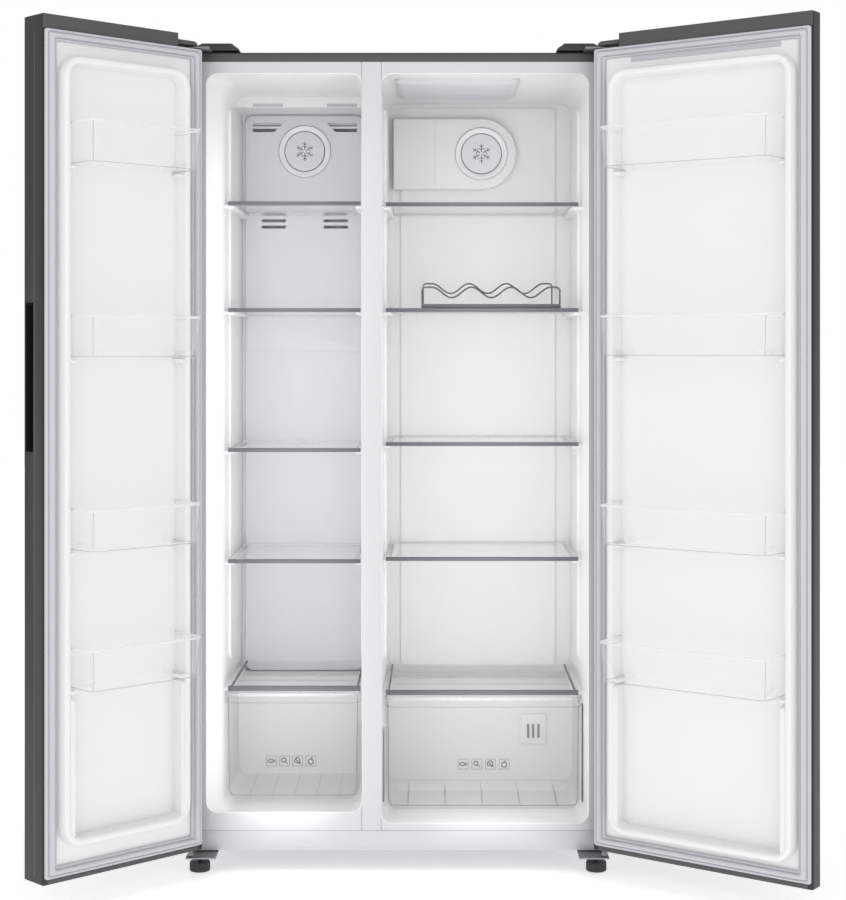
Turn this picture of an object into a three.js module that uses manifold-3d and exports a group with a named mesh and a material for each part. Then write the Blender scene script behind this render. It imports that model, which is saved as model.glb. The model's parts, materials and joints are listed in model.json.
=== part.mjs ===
// Side by side refrigerator with both doors standing open.
// Millimetres. X runs across the front, Y from the front into the cabinet, Z up from the floor.
// The design frame has X = 0 at the cabinet's middle, Y = 0 at its front flange and Z = 0 at the
// floor; the last lines move the whole group so that its origin is at the middle of its footprint.

import * as THREE from 'three';
import { mergeVertices } from 'three/addons/utils/BufferGeometryUtils.js';
import Module from 'manifold-3d';

const wasm = await Module();
wasm.setup();

// ---------------------------------------------------------------- driving dimensions

const GAP = 0.3;                 // left between pieces that touch

const CABINET = {
  halfWidth: 447.5,
  top: 1750,
  bottom: 48,
  depth: 590,
  sheet: 1.5,
  foamBottom: 90,
  trimHeight: 19,                // dark rail across the top of the front
  trimDepth: 30,
};

const LINER_WALL = 2;
const FLANGE_TOP = CABINET.top - CABINET.trimHeight;

const FREEZER = {
  left: -407.6,
  right: -77.6,
  innerLeft: -385,
  innerRight: -79.6,
  bottom: 129,
  innerBottom: 119,
  top: 1705,
  rear: 500,
  flare: 50,
  corner: 24,
};

const FRIDGE = {
  left: -35,
  right: 406,
  innerLeft: -36,
  innerRight: 405,
  bottom: 105.6,
  innerBottom: 105.6,
  top: 1705,
  rear: 456,
  flare: 30,
  corner: 24,
};

// The compressor stands in a bay behind the drawers, so both liners are shallower below its roof.
const BAY = { front: 440, roof: 330, linerRear: 395, linerStep: 350 };

const SHELF = { front: 105, depth: 344, glass: 4, edgeDepth: 12, edgeHeight: 8, coverEdge: 10 };
const FREEZER_SHELF = { left: -375, right: -84, tops: [1441, 1207, 900, 656], coverTop: 378 };
const FRIDGE_SHELF = { left: -29, right: 394, tops: [1439, 1207, 913, 661], coverTop: 369 };
const RIB = { height: 9, reach: 12, start: 120, end: 440 };

const DRAWER = { front: 106, depth: 280, wall: 3, draft: 8, corner: 22, foot: 20 };
const FREEZER_DRAWER = { left: -381, right: -84, bottom: 129.5, top: 363 };
const CRISPER = { left: -31, right: 401, bottom: 107, top: 354 };

const HINGE = { inset: 11, behind: 25, pin: 5, clearance: 0.5, plate: 4 };
const DOOR = {
  thickness: 68,
  bottom: 63,
  top: 1777.4,
  gap: 12,                       // filled by the gasket when the door is shut
  sheet: 1.5,
  sideLip: 12,
  topLip: 29,
  bottomLip: 11,
  gasketWidth: 18,
  notchWidth: 62,
  notchBottom: 1748,
};
const DYKE = { hingeMargin: 48, freeMargin: 34, top: 1698, height: 28, width: 16, corner: 40 };
const POCKET = { depth: 20 };    // how far the liner sinks into the door between its dykes
const HANDLE = { bottom: 911, top: 1212, setback: 4, width: 32, wall: 2 };
const BEVEL = { setback: 18, depth: 37 };    // slope of the fridge door's free edge, which bares the grip

const FREEZER_DOOR = {
  side: 1,
  width: 389.2,
  open: -135.8,
  dykeBottom: 134,
  binTops: [1567, 1184, 803, 530],
  gripDepth: 30,
  bevelled: false,
};
const FRIDGE_DOOR = {
  side: -1,
  width: 500,
  open: 143.65,
  dykeBottom: 112,
  binTops: [1573, 1187, 800, 520],
  gripDepth: 44,
  bevelled: true,
};
const BIN = { height: 86, wall: 3, reach: 95, sideGap: 2, corner: 18, draft: 6, ledge: 8 };

const FREEZER_FAN = { x: -230.9, z: 1589 };
const FRIDGE_FAN = { x: 188.8, z: 1580 };
const FAN = { cover: 62, opening: 50, blade: 44, hub: 14, blades: 5, depth: 16, coverDepth: 5 };
const DUCT = { left: -374, right: -90, bottom: 352, top: 1690, depth: 42, wall: 3 };
const HOUSING = { left: -20, radius: 84, depth: 30, wall: 3 };
const RACK = {
  wire: 2.5,
  left: 51,
  right: 354,
  front: 122,
  rear: 400,
  crest: 1254,
  trough: 1231,
  rise: 18,
  troughs: [116, 203, 290],
  trough_half: 24,
};

const FOOT = { x: 425, y: 20, radius: 22, height: 20, stud: 5 };
const ROLLER = { x: 410, y: 540, radius: 20, width: 24, axle: 4, ear: 3 };
const COMPRESSOR = { x: 250, y: 514, radius: 60, height: 160 };

// ---------------------------------------------------------------- materials

function finish(color, roughness, metalness = 0, opacity = 1) {
  return new THREE.MeshStandardMaterial({
    color,
    roughness,
    metalness,
    opacity,
    transparent: opacity < 1,
  });
}

const graphite = () => finish(0x4b4b4d, 0.4, 0.3);
const white = () => finish(0xefefef, 0.35);
const paleGrey = () => finish(0xdcdcdf, 0.4);
const gasketGrey = () => finish(0xbfc0c5, 0.7);
const clearPlastic = () => finish(0xf2f5f6, 0.1, 0, 0.35);
const glass = () => finish(0xe6eceb, 0.05, 0, 0.35);
const foamYellow = () => finish(0xe8dfb8, 0.9);
const steel = () => finish(0x8d8f92, 0.35, 0.9);
const blackPaint = () => finish(0x1c1c1e, 0.5);
const darkPlastic = () => finish(0x3d3d3f, 0.55);
const aluminium = () => finish(0xc4c7ca, 0.35, 0.9);

// ---------------------------------------------------------------- geometry helpers

// Turns a closed geometry into a solid, with its faces pointing out.
function solid(geometry) {
  const bare = new THREE.BufferGeometry();
  bare.setAttribute('position', geometry.getAttribute('position').clone());
  if (geometry.index) {
    bare.setIndex(geometry.index.clone());
  }
  const merged = mergeVertices(bare, 1e-4);
  const points = Float32Array.from(merged.getAttribute('position').array);
  const faces = Uint32Array.from(merged.index.array);
  if (signedVolume(points, faces) < 0) {
    for (let i = 0; i < faces.length; i += 3) {
      [faces[i + 1], faces[i + 2]] = [faces[i + 2], faces[i + 1]];
    }
  }
  return new wasm.Manifold(new wasm.Mesh({ numProp: 3, vertProperties: points, triVerts: faces }));
}

function signedVolume(points, faces) {
  const a = new THREE.Vector3();
  const b = new THREE.Vector3();
  const c = new THREE.Vector3();
  let total = 0;
  for (let i = 0; i < faces.length; i += 3) {
    a.fromArray(points, 3 * faces[i]);
    b.fromArray(points, 3 * faces[i + 1]);
    c.fromArray(points, 3 * faces[i + 2]);
    total += a.dot(b.cross(c));
  }
  return total;
}

function toGeometry(body) {
  const mesh = body.getMesh();
  const geometry = new THREE.BufferGeometry();
  geometry.setAttribute('position', new THREE.BufferAttribute(Float32Array.from(mesh.vertProperties), 3));
  geometry.setIndex(new THREE.BufferAttribute(Uint32Array.from(mesh.triVerts), 1));
  geometry.computeVertexNormals();
  return geometry;
}

// A block between two corners, given in any order.
function block(x0, x1, y0, y1, z0, z1) {
  const geometry = new THREE.BoxGeometry(Math.abs(x1 - x0), Math.abs(y1 - y0), Math.abs(z1 - z0));
  geometry.translate((x0 + x1) / 2, (y0 + y1) / 2, (z0 + z1) / 2);
  return solid(geometry);
}

// The outline of a rectangle with round corners, as points on a plane.
function roundRect(a0, a1, b0, b1, radius, steps = 3) {
  const [left, right] = [Math.min(a0, a1), Math.max(a0, a1)];
  const centres = [
    [right - radius, b1 - radius, 0],
    [left + radius, b1 - radius, 1],
    [left + radius, b0 + radius, 2],
    [right - radius, b0 + radius, 3],
  ];
  const points = [];
  for (const [a, b, quarter] of centres) {
    for (let i = 0; i <= steps; i += 1) {
      const angle = (quarter + i / steps) * (Math.PI / 2);
      points.push(new THREE.Vector2(a + radius * Math.cos(angle), b + radius * Math.sin(angle)));
    }
  }
  return points;
}

// Joins outlines of equal point count into one closed solid. place puts an outline point in space.
function loft(sections, place) {
  const count = sections[0].outline.length;
  const positions = [];
  for (const section of sections) {
    for (const point of section.outline) {
      positions.push(...place(point, section.at));
    }
  }
  const faces = [];
  for (let s = 0; s + 1 < sections.length; s += 1) {
    for (let i = 0; i < count; i += 1) {
      const j = (i + 1) % count;
      const [p, q, r, t] = [s * count + i, s * count + j, (s + 1) * count + i, (s + 1) * count + j];
      faces.push(p, q, t, p, t, r);
    }
  }
  const last = (sections.length - 1) * count;
  for (const [i, j, k] of THREE.ShapeUtils.triangulateShape(sections[0].outline, [])) {
    faces.push(i, k, j, last + i, last + j, last + k);
  }
  const geometry = new THREE.BufferGeometry();
  geometry.setAttribute('position', new THREE.Float32BufferAttribute(positions, 3));
  geometry.setIndex(faces);
  return solid(geometry);
}

// Outlines in X and Z, stacked along Y.
function loftY(sections) {
  return loft(sections, (point, y) => [point.x, y, point.y]);
}

// Outlines in X and Y, stacked along Z.
function loftZ(sections) {
  return loft(sections, (point, z) => [point.x, point.y, z]);
}

function slabY(outline, y0, y1) {
  return loftY([{ outline, at: y0 }, { outline, at: y1 }]);
}

function slabZ(outline, z0, z1) {
  return loftZ([{ outline, at: z0 }, { outline, at: z1 }]);
}

function cylinder(radius, length, sides = 16) {
  return new THREE.CylinderGeometry(radius, radius, length, sides);
}

function cylinderX(radius, x0, x1, y, z, sides = 16) {
  const geometry = cylinder(radius, Math.abs(x1 - x0), sides).rotateZ(Math.PI / 2);
  return solid(geometry.translate((x0 + x1) / 2, y, z));
}

function cylinderY(radius, x, y0, y1, z, sides = 24) {
  return solid(cylinder(radius, y1 - y0, sides).translate(x, (y0 + y1) / 2, z));
}

function cylinderZ(radius, x, y, z0, z1, sides = 16) {
  const geometry = cylinder(radius, z1 - z0, sides).rotateX(Math.PI / 2);
  return solid(geometry.translate(x, y, (z0 + z1) / 2));
}

function wire(points, radius) {
  const path = new THREE.CurvePath();
  for (let i = 0; i + 1 < points.length; i += 1) {
    path.add(new THREE.LineCurve3(points[i], points[i + 1]));
  }
  const section = new THREE.Shape();
  section.absarc(0, 0, radius, 0, 2 * Math.PI);
  const options = { steps: Math.max(1, 2 * (points.length - 1)), curveSegments: 4, extrudePath: path };
  return solid(new THREE.ExtrudeGeometry(section, options));
}

function join(first, ...others) {
  return others.reduce((sum, other) => sum.add(other), first);
}

function cut(first, ...others) {
  return others.reduce((rest, other) => rest.subtract(other), first);
}

function addPart(parent, name, body, material) {
  const mesh = new THREE.Mesh(toGeometry(body), material);
  mesh.name = name;
  parent.add(mesh);
}

// ---------------------------------------------------------------- cabinet

function cabinetShell() {
  const { halfWidth: w, top, bottom, depth, sheet, trimHeight, trimDepth } = CABINET;
  const outer = block(-w, w, 0, depth, bottom, top);
  const inner = block(-w + sheet, w - sheet, -1, depth + 1, bottom - 1, top - sheet);
  const rail = block(-w + sheet / 2, w - sheet / 2, 0, trimDepth, top - trimHeight, top - sheet / 2);
  return join(cut(outer, inner), rail);
}

// The space inside a compartment; grow widens it on every side but the front.
function compartment(box, grow) {
  const front = roundRect(box.left - grow, box.right + grow, box.bottom - grow, box.top + grow, box.corner + grow);
  const back = roundRect(
    box.innerLeft - grow,
    box.innerRight + grow,
    box.innerBottom - grow,
    box.top + grow,
    box.corner + grow,
  );
  const upper = roundRect(
    box.innerLeft - grow,
    box.innerRight + grow,
    BAY.linerStep - grow,
    box.top + grow,
    box.corner + grow,
  );
  const whole = loftY([
    { outline: front, at: -1 },
    { outline: front, at: 4 },
    { outline: back, at: box.flare },
    { outline: back, at: BAY.linerRear + grow },
  ]);
  return join(whole, slabY(upper, BAY.linerRear - 20, box.rear + grow));
}

function foamInsulation() {
  const inset = CABINET.sheet + GAP;
  const w = CABINET.halfWidth - inset;
  const { depth, top, foamBottom, trimHeight, trimDepth } = CABINET;
  const whole = block(-w, w, LINER_WALL + GAP, depth - 2, foamBottom, top - inset);
  const rail = block(-w - 1, w + 1, 0, trimDepth + GAP, top - trimHeight - GAP, top);
  const bay = block(-w - 1, w + 1, BAY.front, depth + 1, foamBottom - 1, BAY.roof);
  const grow = LINER_WALL + GAP;
  const strip = block(FREEZER.right - 3, FRIDGE.left + 3, 0, 8, foamBottom - 1, FLANGE_TOP);
  return cut(whole, rail, bay, strip, compartment(FREEZER, grow), compartment(FRIDGE, grow));
}

// Rails moulded on a liner's side walls carry the glass shelves.
function shelfRibs(box, shelf) {
  const ribs = [];
  for (const top of [...shelf.tops, shelf.coverTop]) {
    const z1 = top - SHELF.glass - 0.5;
    const z0 = z1 - RIB.height;
    const end = Math.min(RIB.end, BAY.linerRear);
    ribs.push(block(box.innerLeft - 1, shelf.left + RIB.reach, RIB.start, end, z0, z1));
    ribs.push(block(shelf.right - RIB.reach, box.innerRight + 1, RIB.start, end, z0, z1));
  }
  return ribs;
}

function liner(box, shelf, flangeLeft, flangeRight) {
  const inside = compartment(box, 0);
  const flange = block(flangeLeft, flangeRight, 0, LINER_WALL, CABINET.foamBottom, FLANGE_TOP - GAP);
  const skin = cut(join(compartment(box, LINER_WALL), flange), inside);
  const clearFront = block(-600, 600, -5, 0, 0, 2000);
  return join(cut(skin, clearFront), ...shelfRibs(box, shelf));
}

function freezerLiner() {
  const outer = -CABINET.halfWidth + CABINET.sheet + GAP;
  return liner(FREEZER, FREEZER_SHELF, outer, FREEZER.right + 0.01);
}

function fridgeLiner() {
  const outer = CABINET.halfWidth - CABINET.sheet - GAP;
  return liner(FRIDGE, FRIDGE_SHELF, FRIDGE.left - 0.01, outer);
}

// The warm strip between the two openings closes against both gaskets.
function dividerStrip() {
  const left = FREEZER.right + LINER_WALL + GAP;
  const right = FRIDGE.left - LINER_WALL - GAP;
  return block(left, right, 0, 6, CABINET.foamBottom, FLANGE_TOP - GAP);
}

function basePlinth() {
  const w = CABINET.halfWidth - CABINET.sheet - GAP;
  const front = block(-w, w, 0, 4, CABINET.bottom, CABINET.foamBottom - GAP);
  const lip = block(-w, w, 0, 26, CABINET.foamBottom - 4, CABINET.foamBottom - GAP);
  return join(front, lip);
}

function backPanel() {
  const w = CABINET.halfWidth - CABINET.sheet - GAP;
  const { depth, top, sheet } = CABINET;
  return block(-w, w, depth - 1.7, depth, BAY.roof, top - sheet - GAP);
}

function machineCover() {
  const w = CABINET.halfWidth - CABINET.sheet - GAP;
  const { depth, bottom } = CABINET;
  let cover = block(-w, w, depth - 1.7, depth, bottom + 6, BAY.roof - GAP);
  for (let row = 0; row < 5; row += 1) {
    for (let column = 0; column < 4; column += 1) {
      const x = -150 + column * 110;
      const z = 120 + row * 36;
      cover = cut(cover, block(x, x + 80, depth - 5, depth + 5, z, z + 10));
    }
  }
  return cut(cover, cylinderY(12.5, -300, depth - 5, depth + 5, 150, 16));
}

function machineTray() {
  const w = CABINET.halfWidth - CABINET.sheet - 1;
  const { depth } = CABINET;
  const floor = block(-w, w, 28, depth - 3, 49, 51);
  const flanges = [-1, 1].map((side) => block(side * w, side * (w - 2), 28, depth - 3, 49, 80));
  const ears = [];
  for (const side of [-1, 1]) {
    const inner = ROLLER.x - ROLLER.width / 2 - 1 - ROLLER.ear;
    const outer = ROLLER.x + ROLLER.width / 2 + 1;
    for (const x of [inner, outer]) {
      const ear = block(side * x, side * (x + ROLLER.ear), ROLLER.y - 12, ROLLER.y + 12, 10, 50);
      ears.push(cut(ear, cylinderX(ROLLER.axle + 0.2, side * (x - 2), side * (x + 6), ROLLER.y, ROLLER.radius)));
    }
  }
  return join(floor, ...flanges, ...ears);
}

function roller(side) {
  const half = ROLLER.width / 2;
  const wheel = cylinderX(ROLLER.radius, side * (ROLLER.x - half), side * (ROLLER.x + half), ROLLER.y, ROLLER.radius, 24);
  const reach = half + 1 + ROLLER.ear + 1;
  const axle = cylinderX(
    ROLLER.axle,
    side * (ROLLER.x - reach),
    side * (ROLLER.x + reach),
    ROLLER.y,
    ROLLER.radius,
  );
  return join(wheel, axle);
}

function foot(side) {
  const disc = cylinderZ(FOOT.radius, side * FOOT.x, FOOT.y, 0, FOOT.height, 24);
  const stud = cylinderZ(FOOT.stud, side * FOOT.x, FOOT.y, FOOT.height - 1, 47);
  return join(disc, stud);
}

function compressor() {
  const { x, y, radius, height } = COMPRESSOR;
  const profile = [
    [0, 0],
    [0.62, 0],
    [0.9, 0.1],
    [1, 0.28],
    [1, 0.7],
    [0.86, 0.9],
    [0.55, 1],
    [0, 1.02],
  ].map(([r, z]) => new THREE.Vector2(r * radius, z * height));
  const geometry = new THREE.LatheGeometry(profile, 20);
  geometry.rotateX(Math.PI / 2).translate(x, y, 60);
  const plate = block(x - 80, x + 80, y - 60, y + 60, 56, 64);
  const feet = [];
  for (const sx of [-1, 1]) {
    for (const sy of [-1, 1]) {
      feet.push(cylinderZ(9, x + sx * 66, y + sy * 48, 51.3, 58, 12));
    }
  }
  return join(solid(geometry), plate, ...feet);
}

function cordInlet() {
  const { depth } = CABINET;
  const body = cylinderY(12, -300, depth - 16, depth + 2, 150, 16);
  const collar = cylinderY(17, -300, depth + GAP, depth + 3, 150, 16);
  const hole = cylinderY(4, -300, depth - 20, depth + 5, 150, 12);
  return cut(join(body, collar), hole);
}

// ---------------------------------------------------------------- hinges on the cabinet

function topHinge(side) {
  const { halfWidth: w, top } = CABINET;
  const z0 = top + 0.4;
  const plate = block(side * (w - 1), side * (w - 52), -55, 70, z0, z0 + HINGE.plate);
  const pivot = [side * (w - HINGE.inset), -DOOR.gap - HINGE.behind];
  const pin = cylinderZ(HINGE.pin, ...pivot, DOOR.notchBottom - 11, z0 + 1);
  return join(plate, pin);
}

function hingeCover(side) {
  const w = CABINET.halfWidth;
  const z0 = CABINET.top + 0.4 + HINGE.plate + GAP;
  const base = roundRect(side * (w - 30), side * (w - 108), 3, 78, 6, 2);
  const crown = roundRect(side * (w - 32), side * (w - 98), 6, 72, 6, 2);
  return loftZ([{ outline: base, at: z0 }, { outline: base, at: z0 + 8 }, { outline: crown, at: 1771 }]);
}

function bottomHinge(side) {
  const w = CABINET.halfWidth;
  const plate = block(side * (w - 1), side * (w - 64), -50, 90, 42, 46);
  const pad = block(side * (w - 40), side * (w - 60), 40, 85, 45, 48.7);
  const pin = cylinderZ(HINGE.pin, side * (w - HINGE.inset), -DOOR.gap - HINGE.behind, 45, 73);
  const hole = cylinderZ(FOOT.stud + 0.4, side * FOOT.x, FOOT.y, 30, 60);
  return cut(join(plate, pad, pin), hole);
}

// ---------------------------------------------------------------- cold air pieces

function freezerDuctPanel() {
  const rear = FREEZER.rear - 0.5;
  const front = rear - DUCT.depth;
  const outer = slabY(roundRect(DUCT.left, DUCT.right, DUCT.bottom, DUCT.top, 16), front, rear);
  const { wall } = DUCT;
  const hollow = block(
    DUCT.left + wall,
    DUCT.right - wall,
    front + wall,
    rear + 1,
    DUCT.bottom + wall,
    DUCT.top - 16,
  );
  const opening = cylinderY(FAN.opening, FREEZER_FAN.x, front - 5, front + 10, FREEZER_FAN.z);
  const slots = [];
  for (const x of [-340, -170]) {
    for (const z of [1640, 1626, 1421, 1407]) {
      slots.push(block(x, x + 64, front - 5, front + 10, z, z + 6));
    }
  }
  return cut(outer, hollow, opening, ...slots);
}

function fridgeFanHousing() {
  const rear = FRIDGE.rear - 0.5;
  const front = rear - HOUSING.depth;
  const { radius, wall, left } = HOUSING;
  const round = (r) => cylinderY(r, FRIDGE_FAN.x, front, rear, FRIDGE_FAN.z, 32);
  const bar = block(left, FRIDGE_FAN.x, front, rear, FRIDGE_FAN.z - radius, FRIDGE_FAN.z + radius);
  const r = radius - wall;
  const hollowRound = cylinderY(r, FRIDGE_FAN.x, front + wall, rear + 1, FRIDGE_FAN.z, 32);
  const hollowBar = block(left + wall, FRIDGE_FAN.x, front + wall, rear + 1, FRIDGE_FAN.z - r, FRIDGE_FAN.z + r);
  const opening = cylinderY(FAN.opening, FRIDGE_FAN.x, front - 5, front + 10, FRIDGE_FAN.z);
  return cut(join(round(radius), bar), hollowRound, hollowBar, opening);
}

function fanCover(fan, wallFront) {
  const rear = wallFront - GAP;
  const front = rear - FAN.coverDepth;
  const disc = cylinderY(FAN.cover, fan.x, front, rear, fan.z, 32);
  const groove = cut(
    cylinderY(FAN.opening - 2, fan.x, front - 1, front + 2, fan.z, 32),
    cylinderY(FAN.opening - 5, fan.x, front - 2, front + 3, fan.z, 32),
  );
  const slots = [];
  for (let i = -3; i <= 3; i += 1) {
    const half = Math.sqrt(36 ** 2 - (i * 9) ** 2);
    slots.push(block(fan.x - half, fan.x + half, rear - 2, rear + 1, fan.z + i * 9 - 2, fan.z + i * 9 + 2));
  }
  return cut(disc, groove, ...slots);
}

function fanRotor(fan, wallFront) {
  const front = wallFront + 6;
  const hub = cylinderY(FAN.hub, fan.x, front, front + FAN.depth, fan.z, 16);
  const blades = [];
  for (let i = 0; i < FAN.blades; i += 1) {
    const blade = new THREE.BoxGeometry(FAN.blade - FAN.hub + 4, 2, 24);
    blade.rotateX(0.5).translate((FAN.blade + FAN.hub) / 2 - 2, 0, 0);
    blade.rotateY((2 * Math.PI * i) / FAN.blades).translate(fan.x, front + FAN.depth / 2, fan.z);
    blades.push(solid(blade));
  }
  return join(hub, ...blades);
}

function evaporator() {
  const front = FREEZER.rear - 0.5 - DUCT.depth + DUCT.wall + 6;
  const core = block(-350, -114, front + 8, front + 22, 700, 940);
  const fins = [];
  for (let i = 0; i < 12; i += 1) {
    const x = -346 + i * 20.6;
    fins.push(block(x, x + 1.6, front, front + 30, 696, 944));
  }
  return join(core, ...fins);
}

function ceilingLamp() {
  const top = FRIDGE.top - GAP;
  const base = roundRect(-8, 264, 60, 330, 18, 3);
  const lens = roundRect(2, 254, 74, 316, 14, 3);
  return loftZ([{ outline: lens, at: top - 11 }, { outline: base, at: top - 4 }, { outline: base, at: top }]);
}

// ---------------------------------------------------------------- shelves, drawers and rack

function glassShelf(shelf, top, edgeHeight) {
  const { front, depth, glass: thickness, edgeDepth } = SHELF;
  const plan = roundRect(shelf.left, shelf.right, front + 2, front + depth, 6, 2);
  const edge = block(shelf.left, shelf.right, front, front + edgeDepth, top - edgeHeight, top + 0.6);
  return join(slabZ(plan, top - thickness, top), edge);
}

// An open tray with drafted walls and a rounded foot.
function drawer(spec) {
  const { front, depth, wall, draft, corner, foot: rounding } = DRAWER;
  const plan = (inset, narrow) => roundRect(
    spec.left + narrow + inset,
    spec.right - narrow - inset,
    front + narrow / 2 + inset,
    front + depth - narrow / 2 - inset,
    corner - inset,
  );
  const stack = (inset, bottom, top) => loftZ([
    { outline: plan(inset, rounding), at: bottom },
    { outline: plan(inset, draft), at: spec.bottom + rounding },
    { outline: plan(inset, 0), at: top },
  ]);
  return cut(stack(0, spec.bottom, spec.top), stack(wall, spec.bottom + wall, spec.top + 0.1));
}

function rackWave(y, lift) {
  const { left, right, crest, trough, troughs, trough_half: half } = RACK;
  const points = [new THREE.Vector3(left, y, crest + lift)];
  for (const x of troughs) {
    points.push(new THREE.Vector3(x - half, y, crest + lift));
    points.push(new THREE.Vector3(x - half / 2, y, trough + lift + 4));
    points.push(new THREE.Vector3(x, y, trough + lift));
    points.push(new THREE.Vector3(x + half / 2, y, trough + lift + 4));
    points.push(new THREE.Vector3(x + half, y, crest + lift));
  }
  points.push(new THREE.Vector3(right, y, crest + lift));
  return wire(points, RACK.wire);
}

function wineRack() {
  const { left, right, front, rear, crest, rise, wire: r } = RACK;
  const floor = FRIDGE_SHELF.tops[1] + 1 + r;
  const rod = (...ends) => wire(ends.map((end) => new THREE.Vector3(...end)), r);
  const pieces = [
    rackWave(rear, rise),
    rod([left, front, floor], [right, front, floor]),
    rod([left, rear, floor], [right, rear, floor]),
  ];
  for (const x of [left, right]) {
    pieces.push(rod([x, front, floor - r], [x, front, crest + r]));
    pieces.push(rod([x, rear, floor - r], [x, rear, crest + rise + r]));
    pieces.push(rod([x, front - r, floor], [x, rear + r, floor]));
  }
  return join(rackWave(front, 0), ...pieces);
}

// ---------------------------------------------------------------- doors

// In a door's own frame the hinge pin is at X = Y = 0 and Y points to the door's inner face.
// u is measured from the hinge edge, so across(u) is the matching X on either door.
function doorFrame(door) {
  const across = (u) => door.side * (u - HINGE.inset);
  const inner = HINGE.behind;
  const outer = HINGE.behind - DOOR.thickness;
  const { width, gripDepth, bevelled } = door;
  return { across, inner, outer, width, gripDepth, bevelled };
}

function handleRecess(frame, grow) {
  const { across, outer, width, gripDepth } = frame;
  return block(
    across(width - gripDepth - grow),
    across(width + 2),
    outer + HANDLE.setback - grow,
    outer + HANDLE.setback + HANDLE.width + grow,
    HANDLE.bottom - grow,
    HANDLE.top + grow,
  );
}

// The wedge that slopes a free edge away from the door's outer face.
function edgeWedge(frame, inset) {
  const { across, outer, width } = frame;
  const slope = BEVEL.setback / BEVEL.depth;
  const back = BEVEL.setback + inset * Math.hypot(1, slope);
  const outline = [
    new THREE.Vector2(across(width - back - 5 * slope), outer - 5),
    new THREE.Vector2(across(width + 5), outer - 5),
    new THREE.Vector2(across(width + 5), outer + (back + 5) / slope),
  ];
  if (THREE.ShapeUtils.isClockWise(outline)) {
    outline.reverse();
  }
  return slabZ(outline, DOOR.bottom - 5, DOOR.top + 5);
}

function bevel(frame, inset, body) {
  return frame.bevelled ? cut(body, edgeWedge(frame, inset)) : body;
}

function doorEnvelope(frame, inset, innerFace) {
  const { across, outer, width } = frame;
  const body = block(
    across(inset),
    across(width - inset),
    outer + inset,
    innerFace,
    DOOR.bottom + inset,
    DOOR.top - inset,
  );
  const notch = block(
    across(-5),
    across(DOOR.notchWidth + inset),
    outer - 5,
    innerFace + 5,
    DOOR.notchBottom - inset,
    DOOR.top + 5,
  );
  return bevel(frame, inset, cut(body, notch));
}

function pinBores(frame) {
  const radius = HINGE.pin + HINGE.clearance;
  return [
    cylinderZ(radius, 0, 0, DOOR.bottom - 5, DOOR.bottom + 12),
    cylinderZ(radius, 0, 0, DOOR.notchBottom - 13, DOOR.notchBottom + 5),
  ];
}

function doorSkin(door) {
  const frame = doorFrame(door);
  const { across, inner } = frame;
  const hollow = doorEnvelope(frame, DOOR.sheet, inner - DOOR.sheet);
  const opening = block(
    across(DOOR.sideLip),
    across(door.width - DOOR.sideLip),
    inner - 5,
    inner + 5,
    DOOR.bottom + DOOR.bottomLip,
    DOOR.top - DOOR.topLip,
  );
  const shell = cut(doorEnvelope(frame, 0, inner), hollow, opening);
  return cut(shell, handleRecess(frame, 0), ...pinBores(frame));
}

function dykeOutline(door, inset) {
  const { across, width } = doorFrame(door);
  return roundRect(
    across(DYKE.hingeMargin + inset),
    across(width - DYKE.freeMargin - inset),
    door.dykeBottom + inset,
    DYKE.top - inset,
    DYKE.corner - inset,
  );
}

function doorFoam(door) {
  const frame = doorFrame(door);
  const { inner } = frame;
  const face = inner - DOOR.sheet - LINER_WALL - 2 * GAP;
  const body = doorEnvelope(frame, DOOR.sheet + GAP, face);
  const skin = LINER_WALL + GAP;
  const dyke = slabY(dykeOutline(door, skin), face - 1, inner + DYKE.height - skin);
  const pocket = slabY(dykeOutline(door, DYKE.width - skin), inner - POCKET.depth - skin, inner + 60);
  return cut(join(body, dyke), pocket, handleRecess(frame, HANDLE.wall + GAP), ...pinBores(frame));
}

function doorLiner(door) {
  const frame = doorFrame(door);
  const { across, inner, width } = frame;
  const plateFace = inner - DOOR.sheet - GAP;
  const edge = DOOR.sheet + 4;
  const plate = block(
    across(edge),
    across(width - edge),
    plateFace - LINER_WALL,
    plateFace,
    DOOR.bottom + edge,
    DOOR.notchBottom - edge,
  );
  const dyke = slabY(dykeOutline(door, 0), plateFace - LINER_WALL, inner + DYKE.height);
  const underDyke = slabY(dykeOutline(door, LINER_WALL), plateFace - LINER_WALL - 1, inner + DYKE.height - LINER_WALL);
  const pocketSkin = slabY(
    dykeOutline(door, DYKE.width - LINER_WALL),
    inner - POCKET.depth - LINER_WALL,
    inner + DYKE.height,
  );
  const pocket = slabY(dykeOutline(door, DYKE.width), inner - POCKET.depth, inner + DYKE.height + 1);
  const shell = cut(join(cut(join(plate, dyke), underDyke), pocketSkin), pocket);
  return join(shell, ...binLedges(door));
}

// Ledges on the inner sides of the dykes, under the ends of each bin.
function binLedges(door) {
  const { across, inner, width } = doorFrame(door);
  const ledges = [];
  for (const top of door.binTops) {
    const z1 = top - BIN.height - 0.5;
    const z0 = z1 - BIN.ledge;
    const y0 = inner - POCKET.depth - 1;
    const y1 = inner + DYKE.height - 3;
    const hingeSide = DYKE.hingeMargin + DYKE.width - 1;
    const freeSide = width - DYKE.freeMargin - DYKE.width + 1;
    ledges.push(block(across(hingeSide), across(hingeSide + 14), y0, y1, z0, z1));
    ledges.push(block(across(freeSide), across(freeSide - 14), y0, y1, z0, z1));
  }
  return ledges;
}

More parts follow.
